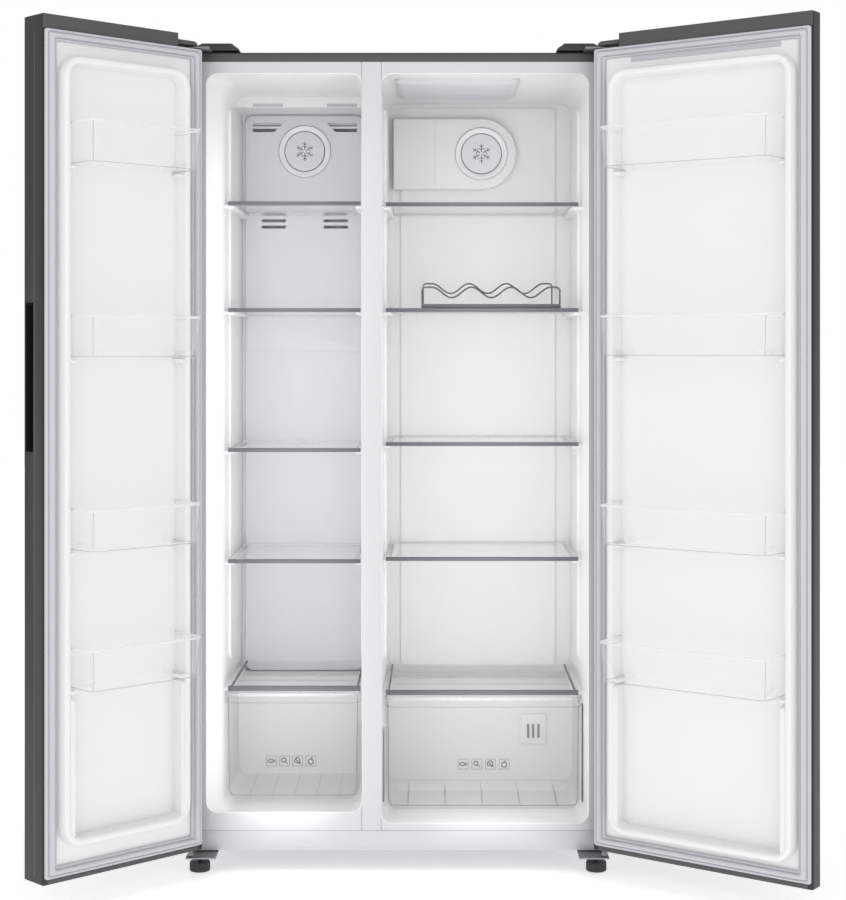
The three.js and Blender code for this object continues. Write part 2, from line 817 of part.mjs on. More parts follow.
function doorGasket(door) {
  const { across, inner, width } = doorFrame(door);
  const margin = DOOR.sideLip + 0.5;
  const ring = (inset) => roundRect(
    across(margin + inset),
    across(width - margin - inset),
    DOOR.bottom + DOOR.bottomLip + 0.5 + inset,
    DOOR.top - DOOR.topLip - 0.5 - inset,
    10,
    2,
  );
  const face = inner - DOOR.sheet;
  const outer = slabY(ring(0), face, inner + DOOR.gap - GAP);
  return cut(outer, slabY(ring(DOOR.gasketWidth), face - 1, inner + DOOR.gap + 1));
}

function doorHandle(door) {
  const frame = doorFrame(door);
  const { across, outer, width, gripDepth } = frame;
  const cup = block(
    across(width - gripDepth + GAP),
    across(width),
    outer + HANDLE.setback + GAP,
    outer + HANDLE.setback + HANDLE.width - GAP,
    HANDLE.bottom + GAP,
    HANDLE.top - GAP,
  );
  const hollow = block(
    across(width - gripDepth + GAP + HANDLE.wall),
    across(width + 1),
    outer + HANDLE.setback + HANDLE.wall + GAP,
    outer + HANDLE.setback + HANDLE.width - HANDLE.wall - GAP,
    HANDLE.bottom + HANDLE.wall + GAP,
    HANDLE.top - HANDLE.wall - GAP,
  );
  return bevel(frame, 0, cut(cup, hollow));
}

function doorBin(door, top) {
  const { across, inner, width } = doorFrame(door);
  const bottom = top - BIN.height;
  const plan = (inset, narrow) => roundRect(
    across(DYKE.hingeMargin + DYKE.width + BIN.sideGap + inset + narrow),
    across(width - DYKE.freeMargin - DYKE.width - BIN.sideGap - inset - narrow),
    inner - POCKET.depth + 1 + inset,
    inner + BIN.reach - inset - 2 * narrow,
    BIN.corner - inset,
  );
  const outer = loftZ([
    { outline: plan(0, BIN.draft / 2), at: bottom },
    { outline: plan(0, 0), at: top },
  ]);
  const inside = loftZ([
    { outline: plan(BIN.wall, BIN.draft / 2), at: bottom + BIN.wall },
    { outline: plan(BIN.wall, 0), at: top + 0.1 },
  ]);
  return cut(outer, inside);
}

// ---------------------------------------------------------------- assembly

function buildDoor(name, door) {
  const group = new THREE.Group();
  group.position.set(-door.side * (CABINET.halfWidth - HINGE.inset), -DOOR.gap - HINGE.behind, 0);
  group.rotation.z = THREE.MathUtils.degToRad(door.open);
  addPart(group, `${name}_door_skin`, doorSkin(door), graphite());
  addPart(group, `${name}_door_foam`, doorFoam(door), foamYellow());
  addPart(group, `${name}_door_liner`, doorLiner(door), white());
  addPart(group, `${name}_door_gasket`, doorGasket(door), gasketGrey());
  addPart(group, `${name}_door_handle`, doorHandle(door), blackPaint());
  door.binTops.forEach((top, index) => {
    addPart(group, `${name}_door_bin_${index + 1}`, doorBin(door, top), clearPlastic());
  });
  return group;
}

function buildCabinet() {
  const group = new THREE.Group();
  addPart(group, 'cabinet_shell', cabinetShell(), graphite());
  addPart(group, 'cabinet_foam', foamInsulation(), foamYellow());
  addPart(group, 'freezer_liner', freezerLiner(), white());
  addPart(group, 'fridge_liner', fridgeLiner(), white());
  addPart(group, 'divider_strip', dividerStrip(), white());
  addPart(group, 'base_plinth', basePlinth(), white());
  addPart(group, 'back_panel', backPanel(), steel());
  addPart(group, 'machine_cover', machineCover(), steel());
  addPart(group, 'machine_tray', machineTray(), steel());
  addPart(group, 'compressor', compressor(), blackPaint());
  addPart(group, 'cord_inlet', cordInlet(), darkPlastic());
  for (const [label, side] of [['left', -1], ['right', 1]]) {
    addPart(group, `top_hinge_${label}`, topHinge(side), steel());
    addPart(group, `hinge_cover_${label}`, hingeCover(side), darkPlastic());
    addPart(group, `bottom_hinge_${label}`, bottomHinge(side), steel());
    addPart(group, `foot_${label}`, foot(side), darkPlastic());
    addPart(group, `roller_${label}`, roller(side), darkPlastic());
  }
  return group;
}

function buildAirSystem() {
  const group = new THREE.Group();
  const ductFront = FREEZER.rear - 0.5 - DUCT.depth;
  const housingFront = FRIDGE.rear - 0.5 - HOUSING.depth;
  addPart(group, 'freezer_duct_panel', freezerDuctPanel(), paleGrey());
  addPart(group, 'freezer_fan_cover', fanCover(FREEZER_FAN, ductFront), paleGrey());
  addPart(group, 'freezer_fan', fanRotor(FREEZER_FAN, ductFront), darkPlastic());
  addPart(group, 'evaporator', evaporator(), aluminium());
  addPart(group, 'fridge_fan_housing', fridgeFanHousing(), white());
  addPart(group, 'fridge_fan_cover', fanCover(FRIDGE_FAN, housingFront), paleGrey());
  addPart(group, 'fridge_fan', fanRotor(FRIDGE_FAN, housingFront), darkPlastic());
  addPart(group, 'ceiling_lamp', ceilingLamp(), clearPlastic());
  return group;
}

function buildInterior() {
  const group = new THREE.Group();
  for (const [name, shelf] of [['freezer', FREEZER_SHELF], ['fridge', FRIDGE_SHELF]]) {
    shelf.tops.forEach((top, index) => {
      addPart(group, `${name}_shelf_${index + 1}`, glassShelf(shelf, top, SHELF.edgeHeight), glass());
    });
    addPart(group, `${name}_drawer_cover`, glassShelf(shelf, shelf.coverTop, SHELF.coverEdge), glass());
  }
  addPart(group, 'freezer_drawer', drawer(FREEZER_DRAWER), clearPlastic());
  addPart(group, 'crisper_drawer', drawer(CRISPER), clearPlastic());
  addPart(group, 'wine_rack', wineRack(), steel());
  return group;
}

const refrigerator = new THREE.Group();
refrigerator.add(buildCabinet(), buildAirSystem(), buildInterior());
refrigerator.add(buildDoor('freezer', FREEZER_DOOR), buildDoor('fridge', FRIDGE_DOOR));

// The origin goes to the middle of the footprint, at floor level.
refrigerator.updateMatrixWorld(true);
const footprint = new THREE.Box3().setFromObject(refrigerator, true).getCenter(new THREE.Vector3());
refrigerator.position.set(-footprint.x, -footprint.y, 0);

export default refrigerator;
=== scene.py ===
"""Side by side refrigerator, doors open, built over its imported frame.

Lengths in this script are millimetres unless a name ends in _m. Each sub-assembly works in a
local frame: u runs across, d runs deeper (from the front towards the back, or towards a door's
inner face) and z runs up from the floor. A Place turns those into scene metres.
"""

import json
import logging
import math
from collections.abc import Callable, Sequence
from dataclasses import dataclass
from enum import Enum

import bmesh
import bpy
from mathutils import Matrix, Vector


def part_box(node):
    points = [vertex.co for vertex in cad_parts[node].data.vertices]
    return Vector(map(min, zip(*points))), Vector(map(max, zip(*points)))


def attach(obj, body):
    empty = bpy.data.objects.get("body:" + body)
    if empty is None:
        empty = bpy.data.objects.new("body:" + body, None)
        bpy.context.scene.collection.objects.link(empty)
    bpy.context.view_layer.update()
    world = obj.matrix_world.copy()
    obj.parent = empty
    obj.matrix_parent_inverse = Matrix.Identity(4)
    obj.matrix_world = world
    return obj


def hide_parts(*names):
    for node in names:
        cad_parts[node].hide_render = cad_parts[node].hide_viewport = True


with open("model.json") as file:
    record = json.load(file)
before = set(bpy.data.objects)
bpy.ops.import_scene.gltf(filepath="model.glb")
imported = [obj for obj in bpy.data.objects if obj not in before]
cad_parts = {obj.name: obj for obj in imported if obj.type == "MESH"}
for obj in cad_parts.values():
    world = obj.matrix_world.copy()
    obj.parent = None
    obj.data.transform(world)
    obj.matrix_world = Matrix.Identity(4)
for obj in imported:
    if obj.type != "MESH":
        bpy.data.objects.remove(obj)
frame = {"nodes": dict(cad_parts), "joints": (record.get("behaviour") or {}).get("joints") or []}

log = logging.getLogger("refrigerator")

MM = 0.001
SENSOR_WIDTH = 36.0

Outline = list[tuple[float, float]]
Layers = Sequence[tuple[Outline, float]]
Span = tuple[float, float]
Piece = bpy.types.Object


# ---------------------------------------------------------------- finishes


class Pattern(Enum):
    """The small-scale surface of a finish."""

    SMOOTH = "smooth"
    ORANGE_PEEL = "orange_peel"
    GRAIN = "grain"
    BRUSHED = "brushed"
    CELLS = "cells"


@dataclass(frozen=True)
class Finish:
    """How a material looks.

    Args:
        name: Material name.
        colour: sRGB hex colour.
        roughness: Roughness of the surface.
        metallic: 1 for bare metal, 0 for anything else.
        ior: Index of refraction of a dielectric; None keeps the shader's own value.
        alpha: Opacity of a thin clear wall.
        coat: Weight of a clear top coat.
        pattern: Small-scale surface.
        pattern_mm: Size of one feature of the pattern.
        relief: Strength of the pattern's bump.
        shade: How much the pattern darkens the colour.
        glow: Emission strength, for a lamp.
    """

    name: str
    colour: str
    roughness: float
    metallic: float = 0.0
    ior: float | None = 1.5
    alpha: float = 1.0
    coat: float = 0.0
    pattern: Pattern = Pattern.SMOOTH
    pattern_mm: float = 1.0
    relief: float = 0.1
    shade: float = 0.05
    glow: float = 0.0


# Powder-coated steel sheet: dark, with a faint orange peel and a soft sheen.
GRAPHITE = Finish("graphite_paint", "#222224", 0.46, coat=0.0, pattern=Pattern.ORANGE_PEEL,
                  pattern_mm=1.6, relief=0.10, shade=0.06)
# Moulded ABS door caps and front rail: clearly lighter than the painted sheet, a little duller.
CAP_PLASTIC = Finish("cap_plastic", "#525253", 0.5, ior=1.49, pattern=Pattern.GRAIN,
                     pattern_mm=0.5, relief=0.12)
# Vacuum-formed polystyrene: a soft white gloss that ripples slightly.
WHITE_LINER = Finish("white_liner", "#EDEDED", 0.32, ior=1.52, pattern=Pattern.ORANGE_PEEL,
                     pattern_mm=3.0, relief=0.05, shade=0.015)
# The same polystyrene on the front faces, painted a little greyer: painted shade that offsets the
# stronger light they catch.
SHADED_FACE_WHITE = Finish("face_white", "#D3D3D5", 0.34, ior=1.52, pattern=Pattern.ORANGE_PEEL,
                    pattern_mm=3.0, relief=0.05, shade=0.015)
# Moulded polystyrene panel: a cool off-white with a fine grain.
GREY_PANEL = Finish("grey_panel", "#E4E4E7", 0.36, ior=1.52, pattern=Pattern.GRAIN,
                    pattern_mm=0.7, relief=0.04, shade=0.015)
# Extruded PVC gasket: pale grey and matt.
GASKET_RUBBER = Finish("gasket_rubber", "#CACBCF", 0.62, ior=1.52, pattern=Pattern.GRAIN,
                       pattern_mm=0.6, relief=0.10, shade=0.04)
# Injection-moulded clear polystyrene: nearly invisible face on, glossy.
CLEAR_PLASTIC = Finish("clear_plastic", "#F4F7F8", 0.08, ior=1.49, alpha=0.10,
                       pattern=Pattern.ORANGE_PEEL, pattern_mm=6.0, relief=0.03, shade=0.02)
# The thick rims of the same plastic, where it turns pale.
CLEAR_EDGE = Finish("clear_edge", "#F7F9FA", 0.12, ior=1.49, alpha=0.55,
                    pattern=Pattern.ORANGE_PEEL, pattern_mm=4.0, relief=0.03, shade=0.02)
# Glass over the drawers: clear, its reflections slightly softer than the shelf glass.
COVER_GLASS = Finish("cover_glass", "#F4F6F6", 0.06, ior=1.52, alpha=0.08,
                     pattern=Pattern.ORANGE_PEEL, pattern_mm=40.0, relief=0.01, shade=0.01)
# Shelf glass: clear with a slight green tone and sharp reflections.
FLOAT_GLASS = Finish("float_glass", "#E9F0EE", 0.03, ior=1.52, alpha=0.10,
                     pattern=Pattern.ORANGE_PEEL, pattern_mm=40.0, relief=0.01, shade=0.01)
# Extruded grey trim: satin. The same grey is also painted shade behind the crisper grille's slots and
# beside the drawers.
TRIM_AND_SHADE_GREY = Finish("shelf_trim", "#66686C", 0.35, ior=1.5, pattern=Pattern.GRAIN,
                    pattern_mm=0.5, relief=0.05)
# Galvanised sheet: dull grey metal, mottled by its spangle.
ZINC_STEEL = Finish("zinc_steel", "#9A9DA0", 0.42, metallic=1.0, ior=None, pattern=Pattern.CELLS,
                    pattern_mm=9.0, relief=0.04, shade=0.12)
# Stamped and brushed steel plate: a fine directional streak.
HINGE_STEEL = Finish("hinge_steel", "#9C9DA0", 0.36, metallic=1.0, ior=None,
                     pattern=Pattern.BRUSHED, pattern_mm=0.6, relief=0.08, shade=0.10)
# Chromed drawn wire: smooth, with a dark base so that it reads grey against the liner.
CHROME_WIRE = Finish("chrome_wire", "#7C7E83", 0.16, metallic=1.0, ior=None,
                     pattern=Pattern.ORANGE_PEEL, pattern_mm=5.0, relief=0.03, shade=0.03)
# Brushed aluminium fins: pale and streaked.
COIL_ALUMINIUM = Finish("coil_aluminium", "#C9CBCE", 0.34, metallic=1.0, ior=None,
                        pattern=Pattern.BRUSHED, pattern_mm=0.8, relief=0.08, shade=0.08)
# Enamelled compressor shell: black with a light gloss.
BLACK_PAINT = Finish("black_paint", "#191A1B", 0.42, coat=0.2, pattern=Pattern.ORANGE_PEEL,
                     pattern_mm=1.4, relief=0.10)
# Moulded dark ABS: fine grain, dull.
DARK_PLASTIC = Finish("dark_plastic", "#3B3B3D", 0.5, ior=1.49, pattern=Pattern.GRAIN,
                      pattern_mm=0.5, relief=0.14)
# Moulded black ABS of the grips: fine grain, darker still.
GRIP_PLASTIC = Finish("grip_plastic", "#18181A", 0.45, ior=1.49, pattern=Pattern.GRAIN,
                      pattern_mm=0.6, relief=0.14)
# Blown polyurethane: dull and cellular.
FOAM = Finish("insulation_foam", "#E8DFB8", 0.9, ior=1.4, pattern=Pattern.CELLS,
              pattern_mm=2.5, relief=0.5, shade=0.15)
# Opal acrylic lens, unlit: pale grey with a fine grain.
LAMP_LENS = Finish("lamp_lens", "#D4D5D8", 0.3, ior=1.49, pattern=Pattern.GRAIN,
                   pattern_mm=1.5, relief=0.15)
# Clear polystyrene drawer walls with a slight haze.
FROST_PLASTIC = Finish("frost_plastic", "#F2F4F5", 0.16, ior=1.49, alpha=0.09,
                       pattern=Pattern.ORANGE_PEEL, pattern_mm=5.0, relief=0.04, shade=0.02)
# Drawer rims and shelf frames of the same plastic, paler where it is thick.
RIM_PLASTIC = Finish("rim_plastic", "#F4F6F7", 0.14, ior=1.49, alpha=0.22,
                     pattern=Pattern.ORANGE_PEEL, pattern_mm=4.0, relief=0.03, shade=0.02)
# Painted highlight: the pale line drawn where a clear bin wall turns a corner, for the light its bend
# reflects.
HIGHLIGHT_LINE_PALE = Finish("line_pale", "#BFC2C7", 0.25, alpha=0.75, pattern=Pattern.GRAIN,
                   pattern_mm=0.5)
# Painted shade: the greyer line drawn where a drawer wall turns a corner.
SHADE_LINE_GREY = Finish("line_grey", "#8A8D92", 0.3, alpha=0.85, pattern=Pattern.GRAIN,
                   pattern_mm=0.5)
# Painted ring round the fan caps: nearly white, with a soft gloss.
SILVER_RING = Finish("silver_ring", "#F4F4F6", 0.26, metallic=0.1, ior=1.5, pattern=Pattern.GRAIN,
                     pattern_mm=0.4, relief=0.03)
# Moulded outlets and strips: light grey and satin. On the freezer door the same grey is painted shadow
# in the gap between the dyke and the gasket.
OUTLET_AND_SHADE_GREY = Finish("outlet_grey", "#C2C3C7", 0.4, pattern=Pattern.GRAIN, pattern_mm=0.6,
                     relief=0.03, shade=0.02)
# Printed ink: flat dark grey.
PRINT_GREY = Finish("print_grey", "#55575B", 0.5, pattern=Pattern.GRAIN, pattern_mm=0.4)
# Plain white sweep under the object, lit so that it fades into the surround.
FLOOR_WHITE = Finish("floor_white", "#FFFFFF", 0.9, pattern=Pattern.GRAIN, pattern_mm=2.0,
                     relief=0.0, shade=0.0, glow=0.45)


def srgb_rgba(code: str, alpha: float = 1.0) -> tuple[float, float, float, float]:
    """Converts an sRGB hex colour to a linear RGBA value.

    Args:
        code: Colour such as "#C0C0C0".
        alpha: Fourth value of the result.

    Returns:
        Linear red, green, blue and alpha.
    """
    values = [int(code[i:i + 2], 16) / 255 for i in (1, 3, 5)]
    linear = [v / 12.92 if v <= 0.04045 else ((v + 0.055) / 1.055) ** 2.4 for v in values]
    return (*linear, alpha)


class MaterialShop:
    """Makes each finish's node material once and hands it out again."""

    def __init__(self) -> None:
        """Starts with no materials made."""
        self._made: dict[str, bpy.types.Material] = {}

    def get(self, finish: Finish) -> bpy.types.Material:
        """Returns the material of a finish.

        Args:
            finish: The finish to make.

        Returns:
            The Blender material, made at the first call.
        """
        if finish.name not in self._made:
            self._made[finish.name] = self._build(finish)
        return self._made[finish.name]

    @staticmethod
    def node(tree: bpy.types.NodeTree, kind: str, links: dict | None = None,
             **settings: object) -> bpy.types.Node:
        """Adds a node, sets its properties or input values, and links its inputs.

        Args:
            tree: Node tree that takes the node.
            kind: Blender node type.
            links: Input name to the output socket that feeds it.
            **settings: Property names, or input names with spaces written as "__".

        Returns:
            The new node.
        """
        node = tree.nodes.new(kind)
        for key, value in settings.items():
            name = key.replace("__", " ")
            if name in node.inputs:
                node.inputs[name].default_value = value
            else:
                setattr(node, key, value)
        for name, source in (links or {}).items():
            tree.links.new(source, node.inputs[name])
        return node

    def _build(self, finish: Finish) -> bpy.types.Material:
        """Makes a finish's node material: colour, roughness and bump share one pattern."""
        material = bpy.data.materials.new(finish.name)
        material.use_nodes = True
        tree = material.node_tree
        shader = tree.nodes["Principled BSDF"]
        self._uniform(shader, finish)
        place = self.node(tree, "ShaderNodeTexCoord").outputs["Object"]
        height = self._height(tree, finish, place)
        dark = tuple(c * (1 - finish.shade) for c in srgb_rgba(finish.colour)[:3]) + (1.0,)
        tint = self.node(
            tree, "ShaderNodeMixRGB", {"Fac": height}, Color1=dark, Color2=srgb_rgba(finish.colour)
        )
        tree.links.new(tint.outputs["Color"], shader.inputs["Base Color"])
        rough = self.node(
            tree, "ShaderNodeMapRange", {"Value": height},
            To__Min=finish.roughness * 0.88, To__Max=min(1.0, finish.roughness * 1.12),
        )
        tree.links.new(rough.outputs["Result"], shader.inputs["Roughness"])
        if finish.relief:
            bump = self.node(
                tree, "ShaderNodeBump", {"Height": height},
                Strength=finish.relief, Distance=finish.pattern_mm * MM * 0.2,
            )
            tree.links.new(bump.outputs["Normal"], shader.inputs["Normal"])
        return material

    @staticmethod
    def _uniform(shader: bpy.types.Node, finish: Finish) -> None:
        """Sets the values that are the same all over the surface on the shader's own sockets."""
        shader.inputs["Metallic"].default_value = finish.metallic
        shader.inputs["Alpha"].default_value = finish.alpha
        shader.inputs["Coat Weight"].default_value = finish.coat
        if finish.ior is not None:
            shader.inputs["IOR"].default_value = finish.ior
        if finish.glow:
            shader.inputs["Emission Color"].default_value = srgb_rgba(finish.colour)
            shader.inputs["Emission Strength"].default_value = finish.glow

    def _height(self, tree: bpy.types.NodeTree, finish: Finish,
                place: bpy.types.NodeSocket) -> bpy.types.NodeSocket:
        """Makes the pattern's height, from 0 to 1, out of the piece's own coordinates."""
        per_metre = 1.0 / (finish.pattern_mm * MM)
        if finish.pattern is Pattern.BRUSHED:
            stretch = self.node(tree, "ShaderNodeMapping", {"Vector": place}, Scale=(1.0, 0.04, 1.0))
            noise = self.node(tree, "ShaderNodeTexNoise", {"Vector": stretch.outputs["Vector"]},
                               Scale=per_metre, Detail=3.0)
            return noise.outputs["Fac"]
        if finish.pattern is Pattern.CELLS:
            cells = self.node(tree, "ShaderNodeTexVoronoi", {"Vector": place}, Scale=per_metre)
            return cells.outputs["Distance"]
        detail = 5.0 if finish.pattern is Pattern.GRAIN else 1.0
        noise = self.node(tree, "ShaderNodeTexNoise", {"Vector": place},
                           Scale=per_metre, Detail=detail)
        return noise.outputs["Fac"]


# ---------------------------------------------------------------- local frames


@dataclass(frozen=True)
class Place:
    """A local frame in millimetres, standing somewhere in the scene.

    Args:
        origin_m: Where u = d = 0 is, at floor level, in scene metres.
        angle: Turn about the vertical, in radians.
        side: 1, or -1 for a mirrored frame whose u runs the other way.
    """

    origin_m: Vector
    angle: float = 0.0
    side: int = 1

    def at(self, u: float, d: float, z: float) -> Vector:
        """Returns the scene position of a local point."""
        x, y = self.side * u * MM, d * MM
        c, s = math.cos(self.angle), math.sin(self.angle)
        return self.origin_m + Vector((x * c - y * s, x * s + y * c, z * MM))


def node_box(node: str, place: Place) -> tuple[Vector, Vector]:
    """Gives a node's corners in an unturned local frame.

    Args:
        node: CAD node name.
        place: The local frame.

    Returns:
        Lowest and highest corner, in millimetres.
    """
    low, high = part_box(node)
    return (low - place.origin_m) / MM, (high - place.origin_m) / MM


# ---------------------------------------------------------------- outlines


def round_rect(a0: float, a1: float, b0: float, b1: float, radius: float, steps: int = 8) -> Outline:
    """Makes a rectangle with round corners.

    Args:
        a0: One side.
        a1: The opposite side.
        b0: Lower side.
        b1: Upper side.
        radius: Corner radius.
        steps: Straight pieces in each corner.

    Returns:
        The outline's points, anticlockwise.
    """
    left, right = min(a0, a1), max(a0, a1)
    radius = max(0.05, min(radius, (right - left) / 2 - 0.01, (b1 - b0) / 2 - 0.01))
    centres = (
        (right - radius, b1 - radius),
        (left + radius, b1 - radius),
        (left + radius, b0 + radius),
        (right - radius, b0 + radius),
    )
    points = []
    for quarter, (a, b) in enumerate(centres):
        for i in range(steps + 1):
            angle = (quarter + i / steps) * math.pi / 2
            points.append((a + radius * math.cos(angle), b + radius * math.sin(angle)))
    return points


def circle(a: float, b: float, radius: float, steps: int = 48) -> Outline:
    """Makes a circle's outline."""
    turn = 2 * math.pi / steps
    return [(a + radius * math.cos(i * turn), b + radius * math.sin(i * turn)) for i in range(steps)]


# ---------------------------------------------------------------- mesh kit


class Workshop:
    """Builds mesh pieces and fixes them to the frame.

    Args:
        shop: Where the materials come from.
    """

    def __init__(self, shop: MaterialShop) -> None:
        """Keeps the shop that the pieces take their materials from."""
        self.shop = shop

    def mesh(self, name: str, points: Sequence[Vector], faces: Sequence[Sequence[int]]) -> Piece:
        """Makes an object from points and faces, with its faces pointing out."""
        data = bpy.data.meshes.new(name)
        data.from_pydata([tuple(p) for p in points], [], [tuple(f) for f in faces])
        shape = bmesh.new()
        shape.from_mesh(data)
        bmesh.ops.remove_doubles(shape, verts=shape.verts, dist=1e-6)
        bmesh.ops.recalc_face_normals(shape, faces=shape.faces)
        shape.to_mesh(data)
        shape.free()
        piece = bpy.data.objects.new(name, data)
        bpy.context.scene.collection.objects.link(piece)
        return piece

    def stack(self, name: str, rings: Sequence[Sequence[Vector]], caps: bool = True,
              loop: bool = False) -> Piece:
        """Joins rings of equal point count.

        Args:
            name: Object name.
            rings: Points of each ring, in metres.
            caps: Whether the first and last rings are closed with a face.
            loop: Whether the last ring joins the first.

        Returns:
            The new object.
        """
        count = len(rings[0])
        points = [point for ring in rings for point in ring]
        faces = []
        spans = len(rings) if loop else len(rings) - 1
        for s in range(spans):
            a, b = s * count, ((s + 1) % len(rings)) * count
            for i in range(count):
                j = (i + 1) % count
                faces.append((a + i, a + j, b + j, b + i))
        if caps and not loop:
            faces.append(tuple(range(count))[::-1])
            faces.append(tuple(range((len(rings) - 1) * count, len(rings) * count)))
        return self.mesh(name, points, faces)

    def along_d(self, name: str, place: Place, layers: Layers, **options: bool) -> Piece:
        """Stacks (outline in u and z, depth d) layers."""
        rings = [[place.at(a, d, b) for a, b in outline] for outline, d in layers]
        return self.stack(name, rings, **options)

    def along_z(self, name: str, place: Place, layers: Layers, **options: bool) -> Piece:
        """Stacks (outline in u and d, height z) layers."""
        rings = [[place.at(a, b, z) for a, b in outline] for outline, z in layers]
        return self.stack(name, rings, **options)

    def along_u(self, name: str, place: Place, layers: Layers, **options: bool) -> Piece:
        """Stacks (outline in d and z, position u) layers."""
        rings = [[place.at(u, a, b) for a, b in outline] for outline, u in layers]
        return self.stack(name, rings, **options)

    def box(self, name: str, place: Place, us: Span, ds: Span, zs: Span,
            edge: float = 0.0) -> Piece:
        """Makes a block between pairs of u, d and z, with its upright edges rounded by edge."""
        outline = round_rect(*us, *ds, edge, 4) if edge else round_rect(*us, *ds, 0.05, 1)
        return self.along_z(name, place, [(outline, zs[0]), (outline, zs[1])])

    def apply(self, piece: Piece) -> Piece:
        """Replaces a piece's mesh by the result of its modifiers."""
        graph = bpy.context.evaluated_depsgraph_get()
        result = bpy.data.meshes.new_from_object(piece.evaluated_get(graph))
        piece.modifiers.clear()
        piece.data = result
        return piece

    def combine(self, piece: Piece, others: Sequence[Piece], operation: str) -> Piece:
        """Adds or removes closed pieces by boolean, and deletes them."""
        for other in others:
            step = piece.modifiers.new("combine", "BOOLEAN")
            step.operation = operation
            step.solver = "MANIFOLD"
            step.object = other
        self.apply(piece)
        for other in others:
            bpy.data.objects.remove(other, do_unlink=True)
        return piece

    def cut(self, piece: Piece, *others: Piece) -> Piece:
        """Cuts pieces out of a piece."""
        return self.combine(piece, others, "DIFFERENCE")

    def join(self, piece: Piece, *others: Piece) -> Piece:
        """Puts other objects' meshes into a piece as they are."""
        shape = bmesh.new()
        shape.from_mesh(piece.data)
        for other in others:
            shape.from_mesh(other.data)
        shape.to_mesh(piece.data)
        shape.free()
        for other in others:
            bpy.data.objects.remove(other, do_unlink=True)
        return piece

    def gather(self, name: str, pieces: Sequence[Piece]) -> Piece:
        """Puts several objects' meshes into one named object."""
        whole = self.join(pieces[0], *pieces[1:])
        whole.name = name
        return whole

    def open_end(self, piece: Piece, inside: Callable[[Vector], bool]) -> Piece:
        """Deletes the faces whose corners all satisfy a test, which opens a closed shape."""
        shape = bmesh.new()
        shape.from_mesh(piece.data)
        gone = [face for face in shape.faces if all(inside(vert.co) for vert in face.verts)]
        bmesh.ops.delete(shape, geom=gone, context="FACES")
        shape.to_mesh(piece.data)
        shape.free()
        return piece

    def soften(self, piece: Piece, width: float = 0.8, segments: int = 2,
               angle: float = 35.0) -> Piece:
        """Rounds a piece's sharp edges by a width in millimetres."""
        bevel = piece.modifiers.new("edges", "BEVEL")
        bevel.width = width * MM
        bevel.segments = segments
        bevel.limit_method = "ANGLE"
        bevel.angle_limit = math.radians(angle)
        bevel.use_clamp_overlap = True
        return self.apply(piece)

    def thicken(self, piece: Piece, thickness: float, offset: float) -> Piece:
        """Gives a sheet a wall thickness in millimetres."""
        wall = piece.modifiers.new("wall", "SOLIDIFY")
        wall.thickness = thickness * MM
        wall.offset = offset
        return self.apply(piece)

    def wire(self, name: str, points: Sequence[Vector], radius: float,
             closed: bool = False) -> Piece:
        """Makes a round wire through points.

        Args:
            name: Object name.
            points: Points in metres.
            radius: Wire radius in millimetres.
            closed: Whether the wire closes on itself.

        Returns:
            The wire as a mesh object.
        """
        curve = bpy.data.curves.new(name, "CURVE")
        curve.dimensions = "3D"
        curve.bevel_depth = radius * MM
        curve.bevel_resolution = 3
        curve.use_fill_caps = True
        line = curve.splines.new("POLY")
        line.points.add(len(points) - 1)
        for target, point in zip(line.points, points):
            target.co = (*point, 1.0)
        line.use_cyclic_u = closed
        maker = bpy.data.objects.new(name, curve)
        bpy.context.scene.collection.objects.link(maker)
        graph = bpy.context.evaluated_depsgraph_get()
        data = bpy.data.meshes.new_from_object(maker.evaluated_get(graph))
        bpy.data.objects.remove(maker, do_unlink=True)
        piece = bpy.data.objects.new(name, data)
        bpy.context.scene.collection.objects.link(piece)
        return piece

    def fix(self, piece: Piece, body: str, finish: Finish, slot: str,
            nodes: Sequence[str] = (), smooth: float = 40.0) -> Piece:
        """Paints a piece, shades it smooth and makes it ride on a body.

        Args:
            piece: The object.
            body: CAD body that it moves with.
            finish: Its finish.
            slot: The record's material slot; not used.
            nodes: CAD nodes that it stands for.
            smooth: Edges sharper than this many degrees stay sharp.

        Returns:
            The piece.
        """
        piece.data.materials.clear()
        piece.data.materials.append(self.shop.get(finish))
        piece.data.shade_smooth()
        piece.data.set_sharp_from_angle(angle=math.radians(smooth))
        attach(piece, body)
        if nodes:
            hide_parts(*nodes)
        log.info("%s rides on %s", piece.name, body)
        return piece

    def keep(self, node: str, finish: Finish) -> None:
        """Keeps a CAD node's shape and gives it a finish."""
        piece = frame["nodes"][node]
        piece.data.materials.clear()
        piece.data.materials.append(self.shop.get(finish))

    def refine(self, node: str, body: str, finish: Finish, slot: str,
               width: float = 0.6) -> None:
        """Replaces a CAD node by a copy with rounded edges."""
        piece = bpy.data.objects.new(f"{node}_fine", frame["nodes"][node].data.copy())
        bpy.context.scene.collection.objects.link(piece)
        shape = bmesh.new()
        shape.from_mesh(piece.data)
        bmesh.ops.remove_doubles(shape, verts=shape.verts, dist=1e-6)
        flat = math.radians(1.0)
        bmesh.ops.dissolve_limit(shape, angle_limit=flat, verts=shape.verts, edges=shape.edges)
        shape.to_mesh(piece.data)
        shape.free()
        self.soften(piece, width)
        self.fix(piece, body, finish, slot, [node])


# ---------------------------------------------------------------- cabinet


@dataclass(frozen=True)
class Compartment:
    """One of the two cold spaces, in the cabinet's frame.

    Args:
        name: "freezer" or "fridge".
        mouth: Left and right of the opening at the front.
        inner: Left and right of the walls behind the flare.
        bottom: Height of the front sill.
        floor: Height of the floor inside.
        top: Height of the ceiling.
        rear: Depth of the rear wall.
        flare: Depth at which the walls run straight.
        flange: Left and right of the front face moulded with the liner.
        shelf: Left and right of the glass shelves.
    """

    name: str
    mouth: tuple[float, float]
    inner: tuple[float, float]
    bottom: float
    floor: float
    top: float
    rear: float
    flare: float
    flange: tuple[float, float]
    shelf: tuple[float, float]


